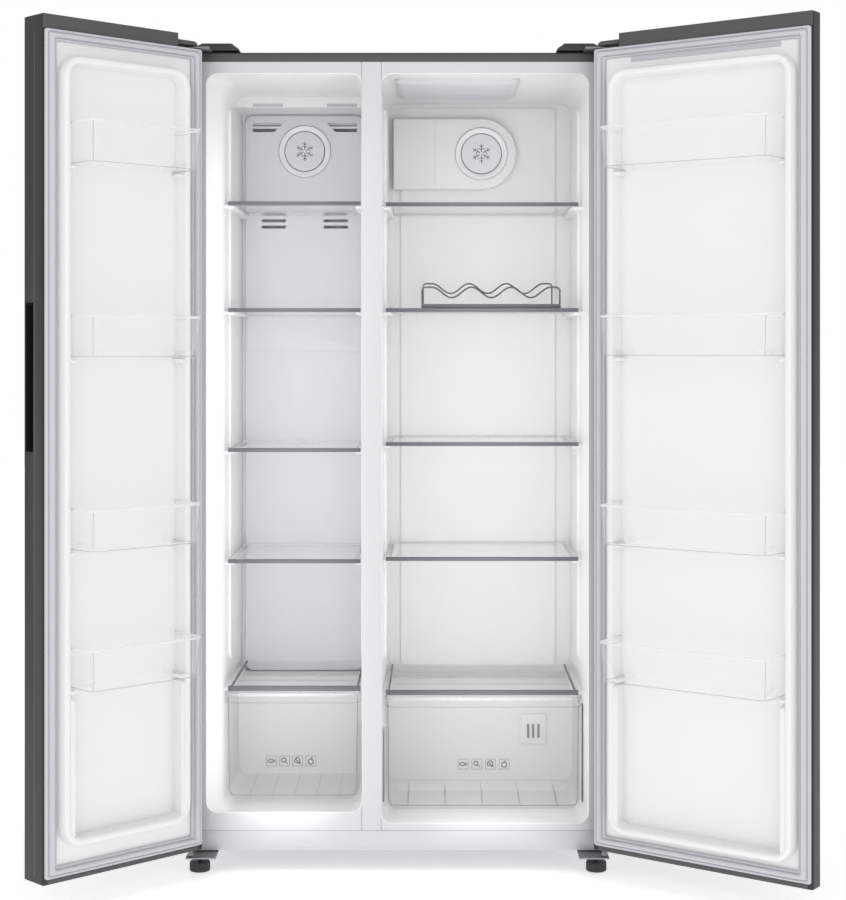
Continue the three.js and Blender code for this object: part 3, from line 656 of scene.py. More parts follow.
FREEZER = Compartment("freezer", (-407.6, -77.6), (-385.0, -79.6), 129.0, 119.0, 1705.0, 500.0,
                      50.0, (-445.7, -77.6), (-375.0, -84.0))
FRIDGE = Compartment("fridge", (-35.0, 406.0), (-36.0, 405.0), 105.6, 105.6, 1705.0, 456.0,
                     30.0, (-35.0, 445.7), (-29.0, 394.0))

CABINET_HALF = 447.5
CABINET_TOP = 1750.0
CABINET_BOTTOM = 48.0
CABINET_DEPTH = 590.0
SHEET = 1.5
RAIL_BOTTOM = 1731.0
LINER_BASE = 90.0
MOUTH_CORNER = 23.0
LIP = 3.0
LOW_REAR = 395.0
LOW_TOP = 350.0
WALL = 1.8
LIP_START = 0.3
DRAFT = 4.0
DUCT_TOP = 1676.0


@dataclass
class Cabinet:
    """The steel wrap, liners and outer fittings of the cabinet.

    Args:
        kit: The mesh workshop.
        place: The cabinet's local frame.
    """

    kit: Workshop
    place: Place
    body: str = "cabinet"

    def build(self) -> None:
        """Makes every piece of the cabinet."""
        self._wrap()
        for space in (FREEZER, FRIDGE):
            self._liner(space)
        self._front_strips()
        self._back()
        self._base()
        for side, label in ((-1, "left"), (1, "right")):
            self._hinges(side, label)
            self._foot(side, label)
            self.kit.refine(f"roller_{label}", f"roller_{label}", DARK_PLASTIC, "dark_plastic", 1.0)
        self.kit.keep("cabinet_foam", FOAM)

    def _wrap(self) -> None:
        """The U-shaped painted sheet with the dark rail across its front."""
        kit, place = self.kit, self.place
        w = CABINET_HALF
        outer = round_rect(-w, w, CABINET_BOTTOM, CABINET_TOP, 3.0, 4)
        wrap = kit.along_d("cabinet_wrap", place, [(outer, 0.0), (outer, CABINET_DEPTH)])
        inside = kit.box("inside", place, (-w + SHEET, w - SHEET), (-9, CABINET_DEPTH + 9),
                         (CABINET_BOTTOM - 9, CABINET_TOP - SHEET))
        kit.cut(wrap, inside)
        rail = kit.box("front_rail", place, (-w + 0.9, w - 0.9), (0.4, 28),
                       (RAIL_BOTTOM, CABINET_TOP - 0.9))
        kit.fix(wrap, self.body, GRAPHITE, "graphite_paint", ["cabinet_shell"])
        kit.fix(kit.soften(rail, 0.5), self.body, CAP_PLASTIC, "graphite_paint")

    def _layers(self, space: Compartment) -> Layers:
        """Gives the cavity's outlines from its rounded lip to its rear wall."""

        def mouth(extra: float) -> Outline:
            """The opening, grown by extra."""
            return round_rect(space.mouth[0] - extra, space.mouth[1] + extra,
                              space.bottom - extra, space.top + extra, MOUTH_CORNER + extra, 10)

        def inner(draft: float) -> Outline:
            """The walls behind the flare, drawn in by draft."""
            return round_rect(space.inner[0] + draft, space.inner[1] - draft,
                              space.floor + draft / 2, space.top - draft, MOUTH_CORNER, 10)

        layers = []
        for i in range(6):
            angle = i / 5 * math.pi / 2
            outline = mouth(LIP * (1 - math.sin(angle)))
            layers.append((outline, LIP * (1 - math.cos(angle)) + LIP_START))
        layers.append((inner(0), space.flare))
        layers.append((inner(DRAFT), LOW_REAR))
        return layers

    def _liner(self, space: Compartment) -> None:
        """A vacuum-formed liner with its front face, shelf rails and rear panel."""
        kit, place = self.kit, self.place
        cavity = kit.along_d("cavity", place, self._layers(space))
        deep = round_rect(space.inner[0] + DRAFT, space.inner[1] - DRAFT,
                          LOW_TOP, space.top - DRAFT, MOUTH_CORNER, 10)
        upper = kit.along_d("upper", place, [(deep, LOW_REAR - 60), (deep, space.rear)])
        kit.combine(cavity, [upper], "UNION")
        if space is FRIDGE:
            panel = round_rect(-2, 365, LOW_TOP + 14, 1691, 16, 6)
            layers = [(panel, space.rear - 5), (panel, space.rear + 5)]
            kit.cut(cavity, kit.along_d("panel", place, layers))
        self._side_moulding(space, cavity)
        kit.open_end(cavity, lambda point: point.y < place.origin_m.y + 0.8 * MM)
        kit.thicken(cavity, WALL, 1.0)
        reach = LIP - 1.4
        lip = round_rect(space.mouth[0] - reach, space.mouth[1] + reach,
                         space.bottom - reach, space.top + reach, MOUTH_CORNER + reach, 10)
        face = round_rect(*space.flange, LINER_BASE, RAIL_BOTTOM - 0.5, 1.5, 10)
        sheet = kit.along_d("front_face", place, [(face, 0.35), (face, WALL)])
        hole = kit.along_d("hole", place, [(lip, -5), (lip, 9)])
        kit.cut(sheet, hole)
        sheet.name = f"{space.name}_liner_face"
        kit.fix(sheet, self.body, SHADED_FACE_WHITE, "white_liner")
        kit.join(cavity, *self._rails(space))
        cavity.name = f"{space.name}_liner_shell"
        kit.fix(cavity, self.body, WHITE_LINER, "white_liner", [f"{space.name}_liner"], smooth=50)

    def _side_moulding(self, space: Compartment, cavity: Piece) -> None:
        """Long shallow steps moulded into the side walls."""
        kit, place = self.kit, self.place
        pads = []
        for wall, sign in ((space.inner[0] + 4, 1), (space.inner[1] - 4, -1)):
            outline = round_rect(200, 372, 420, 1660, 18, 5)
            layers = [(outline, wall - sign * 8), (outline, wall + sign * 2.5)]
            pads.append(kit.along_u("pad", place, layers))
        kit.cut(cavity, *pads)

    def _rails(self, space: Compartment) -> list[Piece]:
        """Shelf rails, one pair under each glass shelf."""
        kit, place = self.kit, self.place
        rails = []
        names = [f"{space.name}_shelf_{i}" for i in (1, 2, 3, 4)] + [f"{space.name}_drawer_cover"]
        for name in names:
            top = node_box(name, place)[1].z - 5.4
            end = 440 if top > LOW_TOP + 30 else LOW_REAR - 4
            for wall, edge in ((space.inner[0] - 1, space.shelf[0] + 11),
                               (space.inner[1] + 1, space.shelf[1] - 11)):
                outline = round_rect(122, end, top - 9, top, 4.4, 5)
                rail = kit.along_u("rail", place, [(outline, wall), (outline, edge)])
                rails.append(kit.soften(rail, 1.2))
        return rails

    def _front_strips(self) -> None:
        """The divider strip between the openings, and the plinth below them."""
        kit, place = self.kit, self.place
        low, high = node_box("divider_strip", place)
        outline = round_rect(low.x - 1.7, high.x + 1.7, 0.0, 5, 1.2, 4)
        layers = [(outline, LINER_BASE), (outline, RAIL_BOTTOM - 0.5)]
        strip = kit.along_z("divider_cover", place, layers)
        kit.fix(strip, self.body, SHADED_FACE_WHITE, "white_liner", ["divider_strip"])
        w = CABINET_HALF - SHEET - 0.4
        panel = round_rect(-w, w, 0.2, 4, 1.0, 4)
        layers = [(panel, CABINET_BOTTOM), (panel, LINER_BASE - 0.6)]
        plinth = kit.along_z("plinth_cover", place, layers)
        lip = kit.box("lip", place, (-w, w), (2, 26), (LINER_BASE - 4, LINER_BASE - 0.6))
        kit.soften(kit.join(plinth, lip), 0.6)
        kit.fix(plinth, self.body, SHADED_FACE_WHITE, "white_liner", ["base_plinth"])

    def _back(self) -> None:
        """The rear sheet with its pressed beads and screws."""
        kit, place = self.kit, self.place
        low, high = node_box("back_panel", place)
        outline = round_rect(low.x, high.x, low.z, high.z, 1.0, 2)
        sheet = kit.along_d("rear_sheet", place, [(outline, low.y), (outline, high.y - 0.7)])
        beads = []
        for i in range(4):
            a = -330 + i * 220
            bead = round_rect(a - 26, a + 26, low.z + 90, high.z - 90, 25, 8)
            inner = round_rect(a - 20, a + 20, low.z + 96, high.z - 96, 19, 8)
            beads.append(kit.along_d("bead", place, [(bead, high.y - 1.2), (inner, high.y)]))
        kit.join(sheet, *beads)
        kit.fix(sheet, self.body, ZINC_STEEL, "zinc_steel", ["back_panel"], smooth=20)
        self._rear_screws(low, high)
        self.kit.refine("machine_cover", self.body, ZINC_STEEL, "zinc_steel", 0.3)
        self.kit.refine("cord_inlet", self.body, DARK_PLASTIC, "dark_plastic", 0.5)

    def _rear_screws(self, low: Vector, high: Vector) -> None:
        """Cross-head screws round the rear sheet and the cover below it."""
        kit, place = self.kit, self.place
        spots = [(a, z) for a in (low.x + 12, high.x - 12) for z in range(380, 1740, 220)]
        spots += [(a, z) for a in range(-360, 400, 180) for z in (low.z + 14, high.z - 14, 310, 66)]
        heads = []
        for a, z in spots:
            layers = [(circle(a, z, 4.2, 16), high.y - 0.8), (circle(a, z, 4.0, 16), high.y + 0.8),
                      (circle(a, z, 2.6, 16), high.y + 1.6)]
            heads.append(kit.along_d("head", place, layers))
        kit.fix(kit.gather("rear_screws", heads), self.body, HINGE_STEEL, "hinge_steel")

    def _base(self) -> None:
        """The machine tray and what stands on it."""
        kit = self.kit
        kit.refine("machine_tray", self.body, ZINC_STEEL, "zinc_steel", 0.4)
        kit.refine("compressor", self.body, BLACK_PAINT, "black_paint", 1.5)
        kit.refine("evaporator", self.body, COIL_ALUMINIUM, "coil_aluminium", 0.3)

    def _hinges(self, side: int, label: str) -> None:
        """Top hinge with its cover, and the bottom hinge."""
        kit, place = self.kit, self.place
        kit.refine(f"top_hinge_{label}", self.body, HINGE_STEEL, "hinge_steel", 0.8)
        kit.refine(f"bottom_hinge_{label}", self.body, HINGE_STEEL, "hinge_steel", 0.8)
        low, high = node_box(f"hinge_cover_{label}", place)
        inner, outer = side * 339.5, side * 446.5
        base = round_rect(inner, outer, low.y - 8, high.y, 7, 5)
        shoulder = round_rect(inner + side * 1, outer - side * 1, low.y - 7, high.y - 1, 7, 5)
        crown = round_rect(inner + side * 14, outer - side * 24, low.y + 2, high.y - 10, 7, 5)
        layers = [(base, low.z), (shoulder, low.z + 5), (crown, high.z - 1.5), (crown, high.z)]
        cover = kit.along_z(f"hinge_cap_{label}", place, layers)
        kit.soften(cover, 0.9)
        frame_outer = round_rect(side * 362, side * 400, low.z + 4.5, high.z - 3.5, 1, 2)
        frame_inner = round_rect(side * 364, side * 398, low.z + 6, high.z - 5, 1, 2)
        panel = kit.along_d("panel", place, [(frame_outer, low.y + 4), (frame_outer, low.y - 6.5),
                                             (frame_inner, low.y - 6.5), (frame_inner, low.y - 5.5)])
        kit.join(cover, panel)
        kit.fix(cover, self.body, DARK_PLASTIC, "dark_plastic", [f"hinge_cover_{label}"])

    def _foot(self, side: int, label: str) -> None:
        """A levelling foot: a knurled disc on a threaded stud."""
        kit, place = self.kit, self.place
        low, high = node_box(f"foot_{label}", place)
        a, b = (low.x + high.x) / 2, (low.y + high.y) / 2
        radius = (high.x - low.x) / 2
        knurl = [radius - (0.9 if i % 2 else 0.0) for i in range(72)]

        def rim(scale: float) -> Outline:
            """The knurled edge, scaled."""
            step = math.pi / 36
            return [(a + r * scale * math.cos(i * step), b + r * scale * math.sin(i * step))
                    for i, r in enumerate(knurl)]

        steps = ((0.93, 0.0), (1.0, 2.0), (1.0, 17.0), (0.94, 20.0), (0.4, 21.0))
        disc = kit.along_z(f"foot_disc_{label}", place, [(rim(scale), z) for scale, z in steps])
        turns = []
        for i in range(14):
            z = 21 + i * 1.8
            turns.append((circle(a, b, 4.4 + 0.6 * (i % 2), 20), z))
        stud = kit.along_z("stud", place, turns)
        kit.join(disc, stud)
        kit.fix(disc, f"foot_{label}", DARK_PLASTIC, "dark_plastic", [f"foot_{label}"], smooth=30)


# ---------------------------------------------------------------- cold air fittings

CAP_OPENING = 50.0


@dataclass
class AirFittings:
    """Duct panel, fan housings, caps, fans and the ceiling lamp."""

    kit: Workshop
    place: Place
    body: str = "cabinet"

    def build(self) -> None:
        """Makes every cold air fitting."""
        self._duct_panel()
        self._housing()
        for space in ("freezer", "fridge"):
            self._cap(space)
            self.kit.refine(f"{space}_fan", f"{space}_fan", DARK_PLASTIC, "dark_plastic", 0.4)
        self._lamp()
        self._crisper_grille()
        self._ceiling_outlets()

    def _slot_cutters(self, front: float) -> list[Piece]:
        """Cutters for the slanted upper slots and the round-ended lower ones."""
        kit, place = self.kit, self.place
        cutters = []
        middle = -231.0
        for side in (-1, 1):
            for z, reach in ((1653, 52.5), (1639.5, 66)):
                far = middle + side * 124
                near = middle + side * reach
                tip = near + side * 7
                outline = [(far, z - 4), (far, z + 4), (near, z + 4), (tip, z - 4)]
                cutters.append(kit.along_d("slot", place, [(outline, front - 3), (outline, front + 9)]))
            for z in (1440, 1424, 1409):
                a = middle + side * 74
                outline = round_rect(a - 29, a + 29, z - 3.6, z + 3.6, 3.5, 6)
                cutters.append(kit.along_d("slot", place, [(outline, front - 3), (outline, front + 9)]))
        return cutters

    def _duct_panel(self) -> None:
        """The freezer's rear panel with its slots and raised field."""
        kit, place = self.kit, self.place
        low, high = node_box("freezer_duct_panel", place)
        high.z = DUCT_TOP

        def rim(inset: float) -> Outline:
            """The panel's edge, moved inwards."""
            return round_rect(low.x + inset, high.x - inset, low.z + inset, high.z - inset, 20, 8)

        layers = [(rim(0), high.y), (rim(0), low.y + 4), (rim(1.2), low.y + 1.2), (rim(4), low.y)]
        panel = kit.along_d("duct_front", place, layers)
        hollow = kit.box("hollow", place, (low.x + 3, high.x - 3), (low.y + 3, high.y + 9),
                         (low.z + 3, high.z - 16))
        fan_low, fan_high = node_box("freezer_fan_cover", place)
        hub = ((fan_low.x + fan_high.x) / 2, (fan_low.z + fan_high.z) / 2)
        hole = circle(*hub, CAP_OPENING)
        opening = kit.along_d("opening", place, [(hole, low.y - 9), (hole, low.y + 9)])
        groove = kit.box("groove", place, (low.x - 9, high.x + 9), (low.y - 1, low.y + 1.2),
                         (1446.5, 1449))
        kit.cut(panel, hollow, opening, groove, *self._slot_cutters(low.y))
        depths = (low.y + 7, high.y)
        fillers = [
            kit.box("filler", place, (low.x - 6.4, low.x + 0.5), depths, (low.z, high.z + 20)),
            kit.box("filler", place, (high.x - 0.5, high.x + 6), depths, (low.z, high.z + 20)),
            kit.box("filler", place, (low.x, high.x), depths, (high.z - 24, high.z + 20)),
        ]
        kit.join(panel, *fillers)
        field = round_rect(low.x + 5, high.x - 5, 1113, 1197, 3, 4)
        raised = round_rect(low.x + 7, high.x - 7, 1115, 1195, 3, 4)
        layers = [(field, low.y + 0.5), (field, low.y - 2), (raised, low.y - 3)]
        kit.join(panel, kit.along_d("field", place, layers))
        kit.fix(panel, self.body, GREY_PANEL, "grey_plastic", ["freezer_duct_panel"], smooth=35)

    def _housing(self) -> None:
        """The fridge's fan housing, square on the left and round on the right."""
        kit, place = self.kit, self.place
        low, high = node_box("fridge_fan_housing", place)
        radius = (high.z - low.z) / 2
        centre = (high.x - radius, (low.z + high.z) / 2)

        def outline(inset: float) -> Outline:
            """The housing's edge, moved inwards."""
            arc = [(-90 + 180 * i / 24) for i in range(25)]
            points = [(centre[0] + (radius - inset) * math.cos(math.radians(t)),
                       centre[1] + (radius - inset) * math.sin(math.radians(t))) for t in arc]
            return points + [(low.x + inset, high.z - inset), (low.x + inset, low.z + inset)]

        layers = [(outline(0), high.y), (outline(0), low.y + 6), (outline(1.8), low.y + 1.8),
                  (outline(6), low.y)]
        housing = kit.along_d("fan_housing_shell", place, layers)
        inside = kit.along_d("inside", place, [(outline(3), high.y + 9), (outline(9), low.y + 3)])
        hole = circle(*centre, CAP_OPENING)
        opening = kit.along_d("opening", place, [(hole, low.y - 9), (hole, low.y + 9)])
        kit.cut(housing, inside, opening)
        fold = round_rect(78, 88, low.z + 6, high.z - 6, 2, 3)
        ridge = round_rect(80.5, 85.5, low.z + 8, high.z - 8, 2, 3)
        kit.join(housing, kit.along_d("fold", place, [(fold, low.y + 0.6), (ridge, low.y - 1.6)]))
        kit.fix(housing, self.body, WHITE_LINER, "white_liner", ["fridge_fan_housing"], smooth=35)

    def _cap(self, space: str) -> None:
        """A fan cap: a bevelled ring round a flat disc with a snowflake."""
        kit, place = self.kit, self.place
        low, high = node_box(f"{space}_fan_cover", place)
        a, z, radius = (low.x + high.x) / 2, (low.z + high.z) / 2, (high.x - low.x) / 2
        disc_edge = radius * 0.755
        disc = [(disc_edge, high.y), (disc_edge, low.y + 1.9), (disc_edge - 0.8, low.y + 1.1),
                (disc_edge - 2, low.y + 1.0)]
        cap = kit.along_d(f"{space}_fan_cap", place, [(circle(a, z, r, 72), d) for r, d in disc])
        kit.fix(cap, self.body, GREY_PANEL, "grey_plastic", [f"{space}_fan_cover"], smooth=25)
        section = [(radius, high.y - 0.2), (radius, low.y + 2.2), (radius - 0.9, low.y + 0.8),
                   (radius - 2.4, low.y + 0.2), (radius * 0.86, low.y + 1.0),
                   (radius * 0.785, low.y + 3.0), (radius * 0.775, low.y + 4.0),
                   (radius * 0.775, high.y - 0.2)]
        rings = [[place.at(x, d, y) for x, y in circle(a, z, r, 72)] for r, d in section]
        ring = kit.stack(f"{space}_fan_ring", rings, loop=True)
        kit.fix(ring, self.body, SILVER_RING, "grey_plastic", smooth=25)

        def point(r: float, t: float) -> Vector:
            """A point on the disc's face, at a radius and an angle."""
            return place.at(a + r * math.cos(t), low.y + 0.9, z + r * math.sin(t))

        arms = []
        for r, d in ((radius - 0.4, 1.8), (disc_edge + 0.6, 2.4)):
            hoop = [place.at(x, low.y + d, y) for x, y in circle(a, z, r, 72)]
            arms.append(kit.wire("outline", hoop, 0.5, closed=True))
        for i in range(6):
            turn = i * math.pi / 3 + math.pi / 2
            arms.append(kit.wire("arm", [point(4, turn), point(23, turn)], 0.7))
            for r, offset in ((9, 0.42), (9, -0.42), (15, 0.24), (15, -0.24)):
                arms.append(kit.wire("arm", [point(r, turn), point(r + 5, turn + offset)], 0.6))
        kit.fix(kit.gather(f"{space}_snowflake", arms), self.body, PRINT_GREY, "grey_plastic")

    def _lamp(self) -> None:
        """The fridge's ceiling lamp lens with its fine prisms."""
        kit, place = self.kit, self.place
        low, high = node_box("ceiling_lamp", place)

        def rim(inset: float) -> Outline:
            """The lens's edge, moved inwards."""
            return round_rect(low.x + inset, high.x - inset, low.y + inset, high.y - inset, 18, 8)

        layers = [(rim(0), high.z), (rim(0), high.z - 4), (rim(6), low.z + 2), (rim(10), low.z)]
        lens = kit.along_z("lamp_lens", place, layers)
        ribs = []
        for i in range(12):
            b = low.y + 26 + i * 20
            ribs.append(kit.box("rib", place, (low.x + 16, high.x - 16), (b, b + 3),
                                (low.z - 1.2, low.z + 1), 1))
        kit.join(lens, *ribs)
        kit.fix(lens, self.body, LAMP_LENS, "lamp_lens", ["ceiling_lamp"], smooth=30)

    def _crisper_grille(self) -> None:
        """The small slotted grille behind the crisper, with painted shade behind its slots, and dark
        strips of painted shadow beside both drawers.
        """
        kit, place = self.kit, self.place
        rear = LOW_REAR - 1
        edge = round_rect(279, 341, 191, 262, 5, 4)
        brim = round_rect(281, 339, 193, 260, 5, 4)
        layers = [(edge, rear), (edge, rear - 3), (brim, rear - 4)]
        grille = kit.along_d("crisper_grille", place, layers)
        # The dark plates behind the slots are painted shade, standing for the hollow that the slots
        # open into.
        slots, slot_shades = [], []
        for a in (297.8, 309.5, 322):
            outline = round_rect(a - 3, a + 3, 205, 239, 2.4, 4)
            inner = round_rect(a - 2.8, a + 2.8, 205.3, 238.7, 2.3, 4)
            slots.append(kit.along_d("slot", place, [(outline, rear - 9), (outline, rear - 1)]))
            slot_shades.append(kit.along_d("back", place, [(inner, rear - 2.4), (inner, rear - 0.5)]))
        kit.cut(grille, *slots)
        kit.fix(grille, self.body, WHITE_LINER, "white_liner")
        kit.fix(kit.gather("crisper_grille_slots", slot_shades), self.body, TRIM_AND_SHADE_GREY, "grey_plastic")
        # Thin dark strips beside the drawers: painted shadow of the narrow gaps between the drawers and
        # the liner walls.
        gap_shade_strips = [kit.box("seal", place, (a, a + 1.4), (106, 130), zs, 0.4)
                 for a, zs in ((-82.8, (145, 300)), (-33.7, (125, 285)), (401.9, (125, 337)))]
        kit.fix(kit.gather("drawer_side_seals", gap_shade_strips), self.body, TRIM_AND_SHADE_GREY, "grey_plastic")

    def _ceiling_outlets(self) -> None:
        """A shallow duct under the freezer's ceiling with two outlets in its front."""
        kit, place = self.kit, self.place
        duct = kit.box("ceiling_duct", place, (-386, -79), (330, 496), (DUCT_TOP + 1, 1704))
        kit.fix(duct, self.body, WHITE_LINER, "white_liner")
        outlets = []
        for a0, a1 in ((-342, -273), (-171, -101)):
            outline = round_rect(a0, a1, DUCT_TOP + 2.5, DUCT_TOP + 10, 1, 3)
            outlets.append(kit.along_d("outlet", place, [(outline, 329.4), (outline, 331)]))
        kit.fix(kit.gather("ceiling_outlets", outlets), self.body, OUTLET_AND_SHADE_GREY, "grey_plastic")


# ---------------------------------------------------------------- shelves, drawers and rack


@dataclass
class Shelf:
    """A glass shelf with its grey front trim and clear side frames.

    Args:
        kit: The mesh workshop.
        place: The cabinet's local frame.
        node: CAD node and body name.
    """

    kit: Workshop
    place: Place
    node: str

    def build(self) -> None:
        """Makes the glass, the trim and the frame."""
        kit, place = self.kit, self.place
        low, high = node_box(self.node, place)
        top = high.z - 0.6
        pane = round_rect(low.x + 7, high.x - 7, low.y + 3, high.y - 2, 4, 4)
        rim = round_rect(low.x + 7.4, high.x - 7.4, low.y + 3.4, high.y - 2.4, 4, 4)
        layers = [(rim, top - 4), (pane, top - 3.6), (pane, top - 0.4), (rim, top)]
        glass = kit.along_z(f"{self.node}_glass", place, layers)
        finish = COVER_GLASS if self.node.endswith("cover") else FLOAT_GLASS
        kit.fix(glass, self.node, finish, "shelf_glass", [self.node])
        section = round_rect(low.y, low.y + 12, low.z, high.z, 2.6, 5)
        layers = [(section, low.x + 0.5), (section, high.x - 0.5)]
        trim = kit.soften(kit.along_u(f"{self.node}_trim", place, layers), 0.5)
        kit.fix(trim, self.node, TRIM_AND_SHADE_GREY, "shelf_glass")
        self._frame(low, high, top)

    def _frame(self, low: Vector, high: Vector, top: float) -> None:
        """Clear strips along the glass's sides and rear; a cover has thin grey ones instead."""
        kit, place = self.kit, self.place
        strips = []
        if self.node.endswith("cover"):
            for a in (low.x + 5.6, high.x - 9.0):
                outline = round_rect(low.y + 12.2, high.y, top - 4.6, top + 0.3, 1.0, 3)
                strips.append(kit.along_u("strip", place, [(outline, a), (outline, a + 3.4)]))
            side = kit.gather(f"{self.node}_side_trim", strips)
            kit.fix(side, self.node, TRIM_AND_SHADE_GREY, "shelf_glass")
            return
        for a0, a1 in ((low.x, low.x + 13), (high.x - 13, high.x)):
            outline = round_rect(low.y + 12.2, high.y, top - 5.2, top + 0.5, 1.5, 3)
            strips.append(kit.along_u("strip", place, [(outline, a0), (outline, a1)]))
        outline = round_rect(high.y - 12, high.y, top - 5.2, top + 0.5, 1.5, 3)
        strips.append(kit.along_u("strip", place, [(outline, low.x + 13.2), (outline, high.x - 13.2)]))
        clips = []
        for a, sign in ((low.x, 1), (high.x, -1)):
            hook = [(low.y + 12.5, top - 5.4), (low.y + 60, top - 5.4), (low.y + 46, top - 8.0),
                    (low.y + 18, top - 8.0)]
            clips.append(kit.along_u("clip", place, [(hook, a + sign * 12), (hook, a + sign * 15)]))
        frame_piece = kit.gather(f"{self.node}_frame", strips + clips)
        kit.soften(frame_piece, 0.4)
        kit.fix(frame_piece, self.node, RIM_PLASTIC, "clear_plastic")


@dataclass
class Drawer:
    """An open clear drawer with a rolled rim, a pull lip and four printed symbols.

    Args:
        kit: The mesh workshop.
        place: The cabinet's local frame.
        node: CAD node and body name.
        symbols: Left and right end of the row of symbols, and its height.
    """

    kit: Workshop
    place: Place
    node: str
    symbols: tuple[float, float, float]

    CORNER = 22.0
    FOOT = 22.0
    ROUND = 20.0
    DRAFT = 2.5

    def build(self) -> None:
        """Makes the tray, its rim and its print."""
        kit, place = self.kit, self.place
        low, high = node_box(self.node, place)

        def plan(inset: float, narrow: float) -> Outline:
            """The tray seen from above, inset and narrowed."""
            return round_rect(low.x + narrow + inset, high.x - narrow - inset,
                              low.y + narrow / 2 + inset, high.y - narrow / 2 - inset,
                              self.CORNER - inset, 8)

        foot = low.z + self.FOOT
        layers = []
        for i in range(7):
            t = i / 6 * math.pi / 2
            narrow = self.DRAFT + self.ROUND * (1 - math.sin(t))
            layers.append((plan(0, narrow), low.z + (foot - low.z) * (1 - math.cos(t))))
        tray = kit.along_z(f"{self.node}_tray", place, layers + [(plan(0, 0.4), high.z)])
        kit.open_end(tray, lambda point: point.z > (high.z - 0.1) * MM)
        ribs = []
        for i in range(5):
            a = low.x + 50 + i * (high.x - low.x - 100) / 4
            ribs.append(kit.box("rib", place, (a - 1.2, a + 1.2), (low.y + 34, high.y - 34),
                                (low.z + 0.4, low.z + 1.6)))
        kit.join(tray, *ribs)
        kit.fix(tray, self.node, FROST_PLASTIC, "clear_plastic", [self.node])
        self._rim(plan, high.z)
        self._print(low, high)

    def _rim(self, plan: Callable[[float, float], Outline], top: float) -> None:
        """The thicker bright rim with the pull lip at the front."""
        kit, place = self.kit, self.place
        profile = [(-0.3, -7), (-0.3, -0.8), (0.4, -0.1), (3.2, -0.1), (3.6, -0.8), (3.6, -2),
                   (2.8, -7)]
        rings = [[place.at(a, b, top + lift) for a, b in plan(inset, 0.3)] for inset, lift in profile]
        rim = kit.stack(f"{self.node}_rim", rings, loop=True)
        kit.fix(rim, self.node, RIM_PLASTIC, "clear_plastic")
        self._outline(plan, top)

    def _outline(self, plan: Callable[[float, float], Outline], top: float) -> None:
        """Fine darker lines of painted shade where the clear front turns into its sides and its base,
        and one grey ring round the drawer below its rim.
        """
        kit, place = self.kit, self.place
        low = node_box(self.node, place)[0]
        foot = low.z + self.FOOT
        upper, lower, base = plan(-0.2, 0.6), plan(-0.2, self.DRAFT), plan(-0.2, self.DRAFT + 4)
        lines = []
        # Grey wires at the front corners and along the base: painted shade where the clear wall bends.
        for i in (22, 31):
            path = [place.at(*upper[i], top - 9), place.at(*lower[i], foot),
                    place.at(*base[i], foot - 12)]
            lines.append(kit.wire("line", path, 0.7))
        rounds = [place.at(*point, foot - 12) for point in base[22:32]]
        lines.append(kit.wire("line", rounds, 0.7))
        band = [place.at(*point, top - 21) for point in plan(-0.2, 0.6)]
        lines.append(kit.wire("line", band, 0.45, closed=True))
        outline = kit.gather(f"{self.node}_outline", lines)
        kit.fix(outline, self.node, SHADE_LINE_GREY, "clear_plastic")

    def _print(self, low: Vector, high: Vector) -> None:
        """Four plain outlined symbols printed on the front wall."""
        kit, place = self.kit, self.place
        left, right, z = self.symbols
        share = (high.z - z) / (high.z - low.z - self.FOOT)
        depth = low.y + self.DRAFT / 2 * share - 1.0
        lines = []
        half = 11.0
        for i in range(4):
            a = left + (right - left) * i / 3
            corners = [(-half, -half), (half, -half), (half, half), (-half, half)]
            square = [place.at(a + x, depth, z + y) for x, y in corners]
            lines.append(kit.wire("line", square, 0.5, closed=True))
            for stroke in SYMBOLS[i]:
                points = [place.at(a + x, depth, z + y) for x, y in stroke]
                lines.append(kit.wire("line", points, 1.1))
        symbols = kit.gather(f"{self.node}_symbols", lines)
        kit.fix(symbols, self.node, PRINT_GREY, "clear_plastic")


def arc(a: float, b: float, radius: float, start: float, end: float, squash: float = 1.0) -> Outline:
    """Gives points of an arc between two angles in degrees, flattened by squash."""
    turns = [math.radians(start + (end - start) * i / 14) for i in range(15)]
    return [(a + radius * math.cos(t), b + squash * radius * math.sin(t)) for t in turns]


FISH = [arc(-1.5, 0, 6, 40, 320, 0.6), [(3, 2.3), (8, -3.5), (8, 3.5), (3, -2.3)]]
DRUMSTICK = [arc(-2, 2, 4.6, 0, 360), [(1.4, -1.2), (6, -6), (7.4, -4.6), (5.6, -6.8), (6, -6)]]
LEAF = [arc(0, 0, 7, 60, 200, 1.0) + [(6, -6), (3.5, 6)], [(-4, 3), (6, -6)]]
FRUIT = [arc(0, -1.5, 5.6, 70, 430), [(0.4, 3.8), (1.2, 7), (4, 7.6)]]
SYMBOLS = [FISH, DRUMSTICK, LEAF, FRUIT]


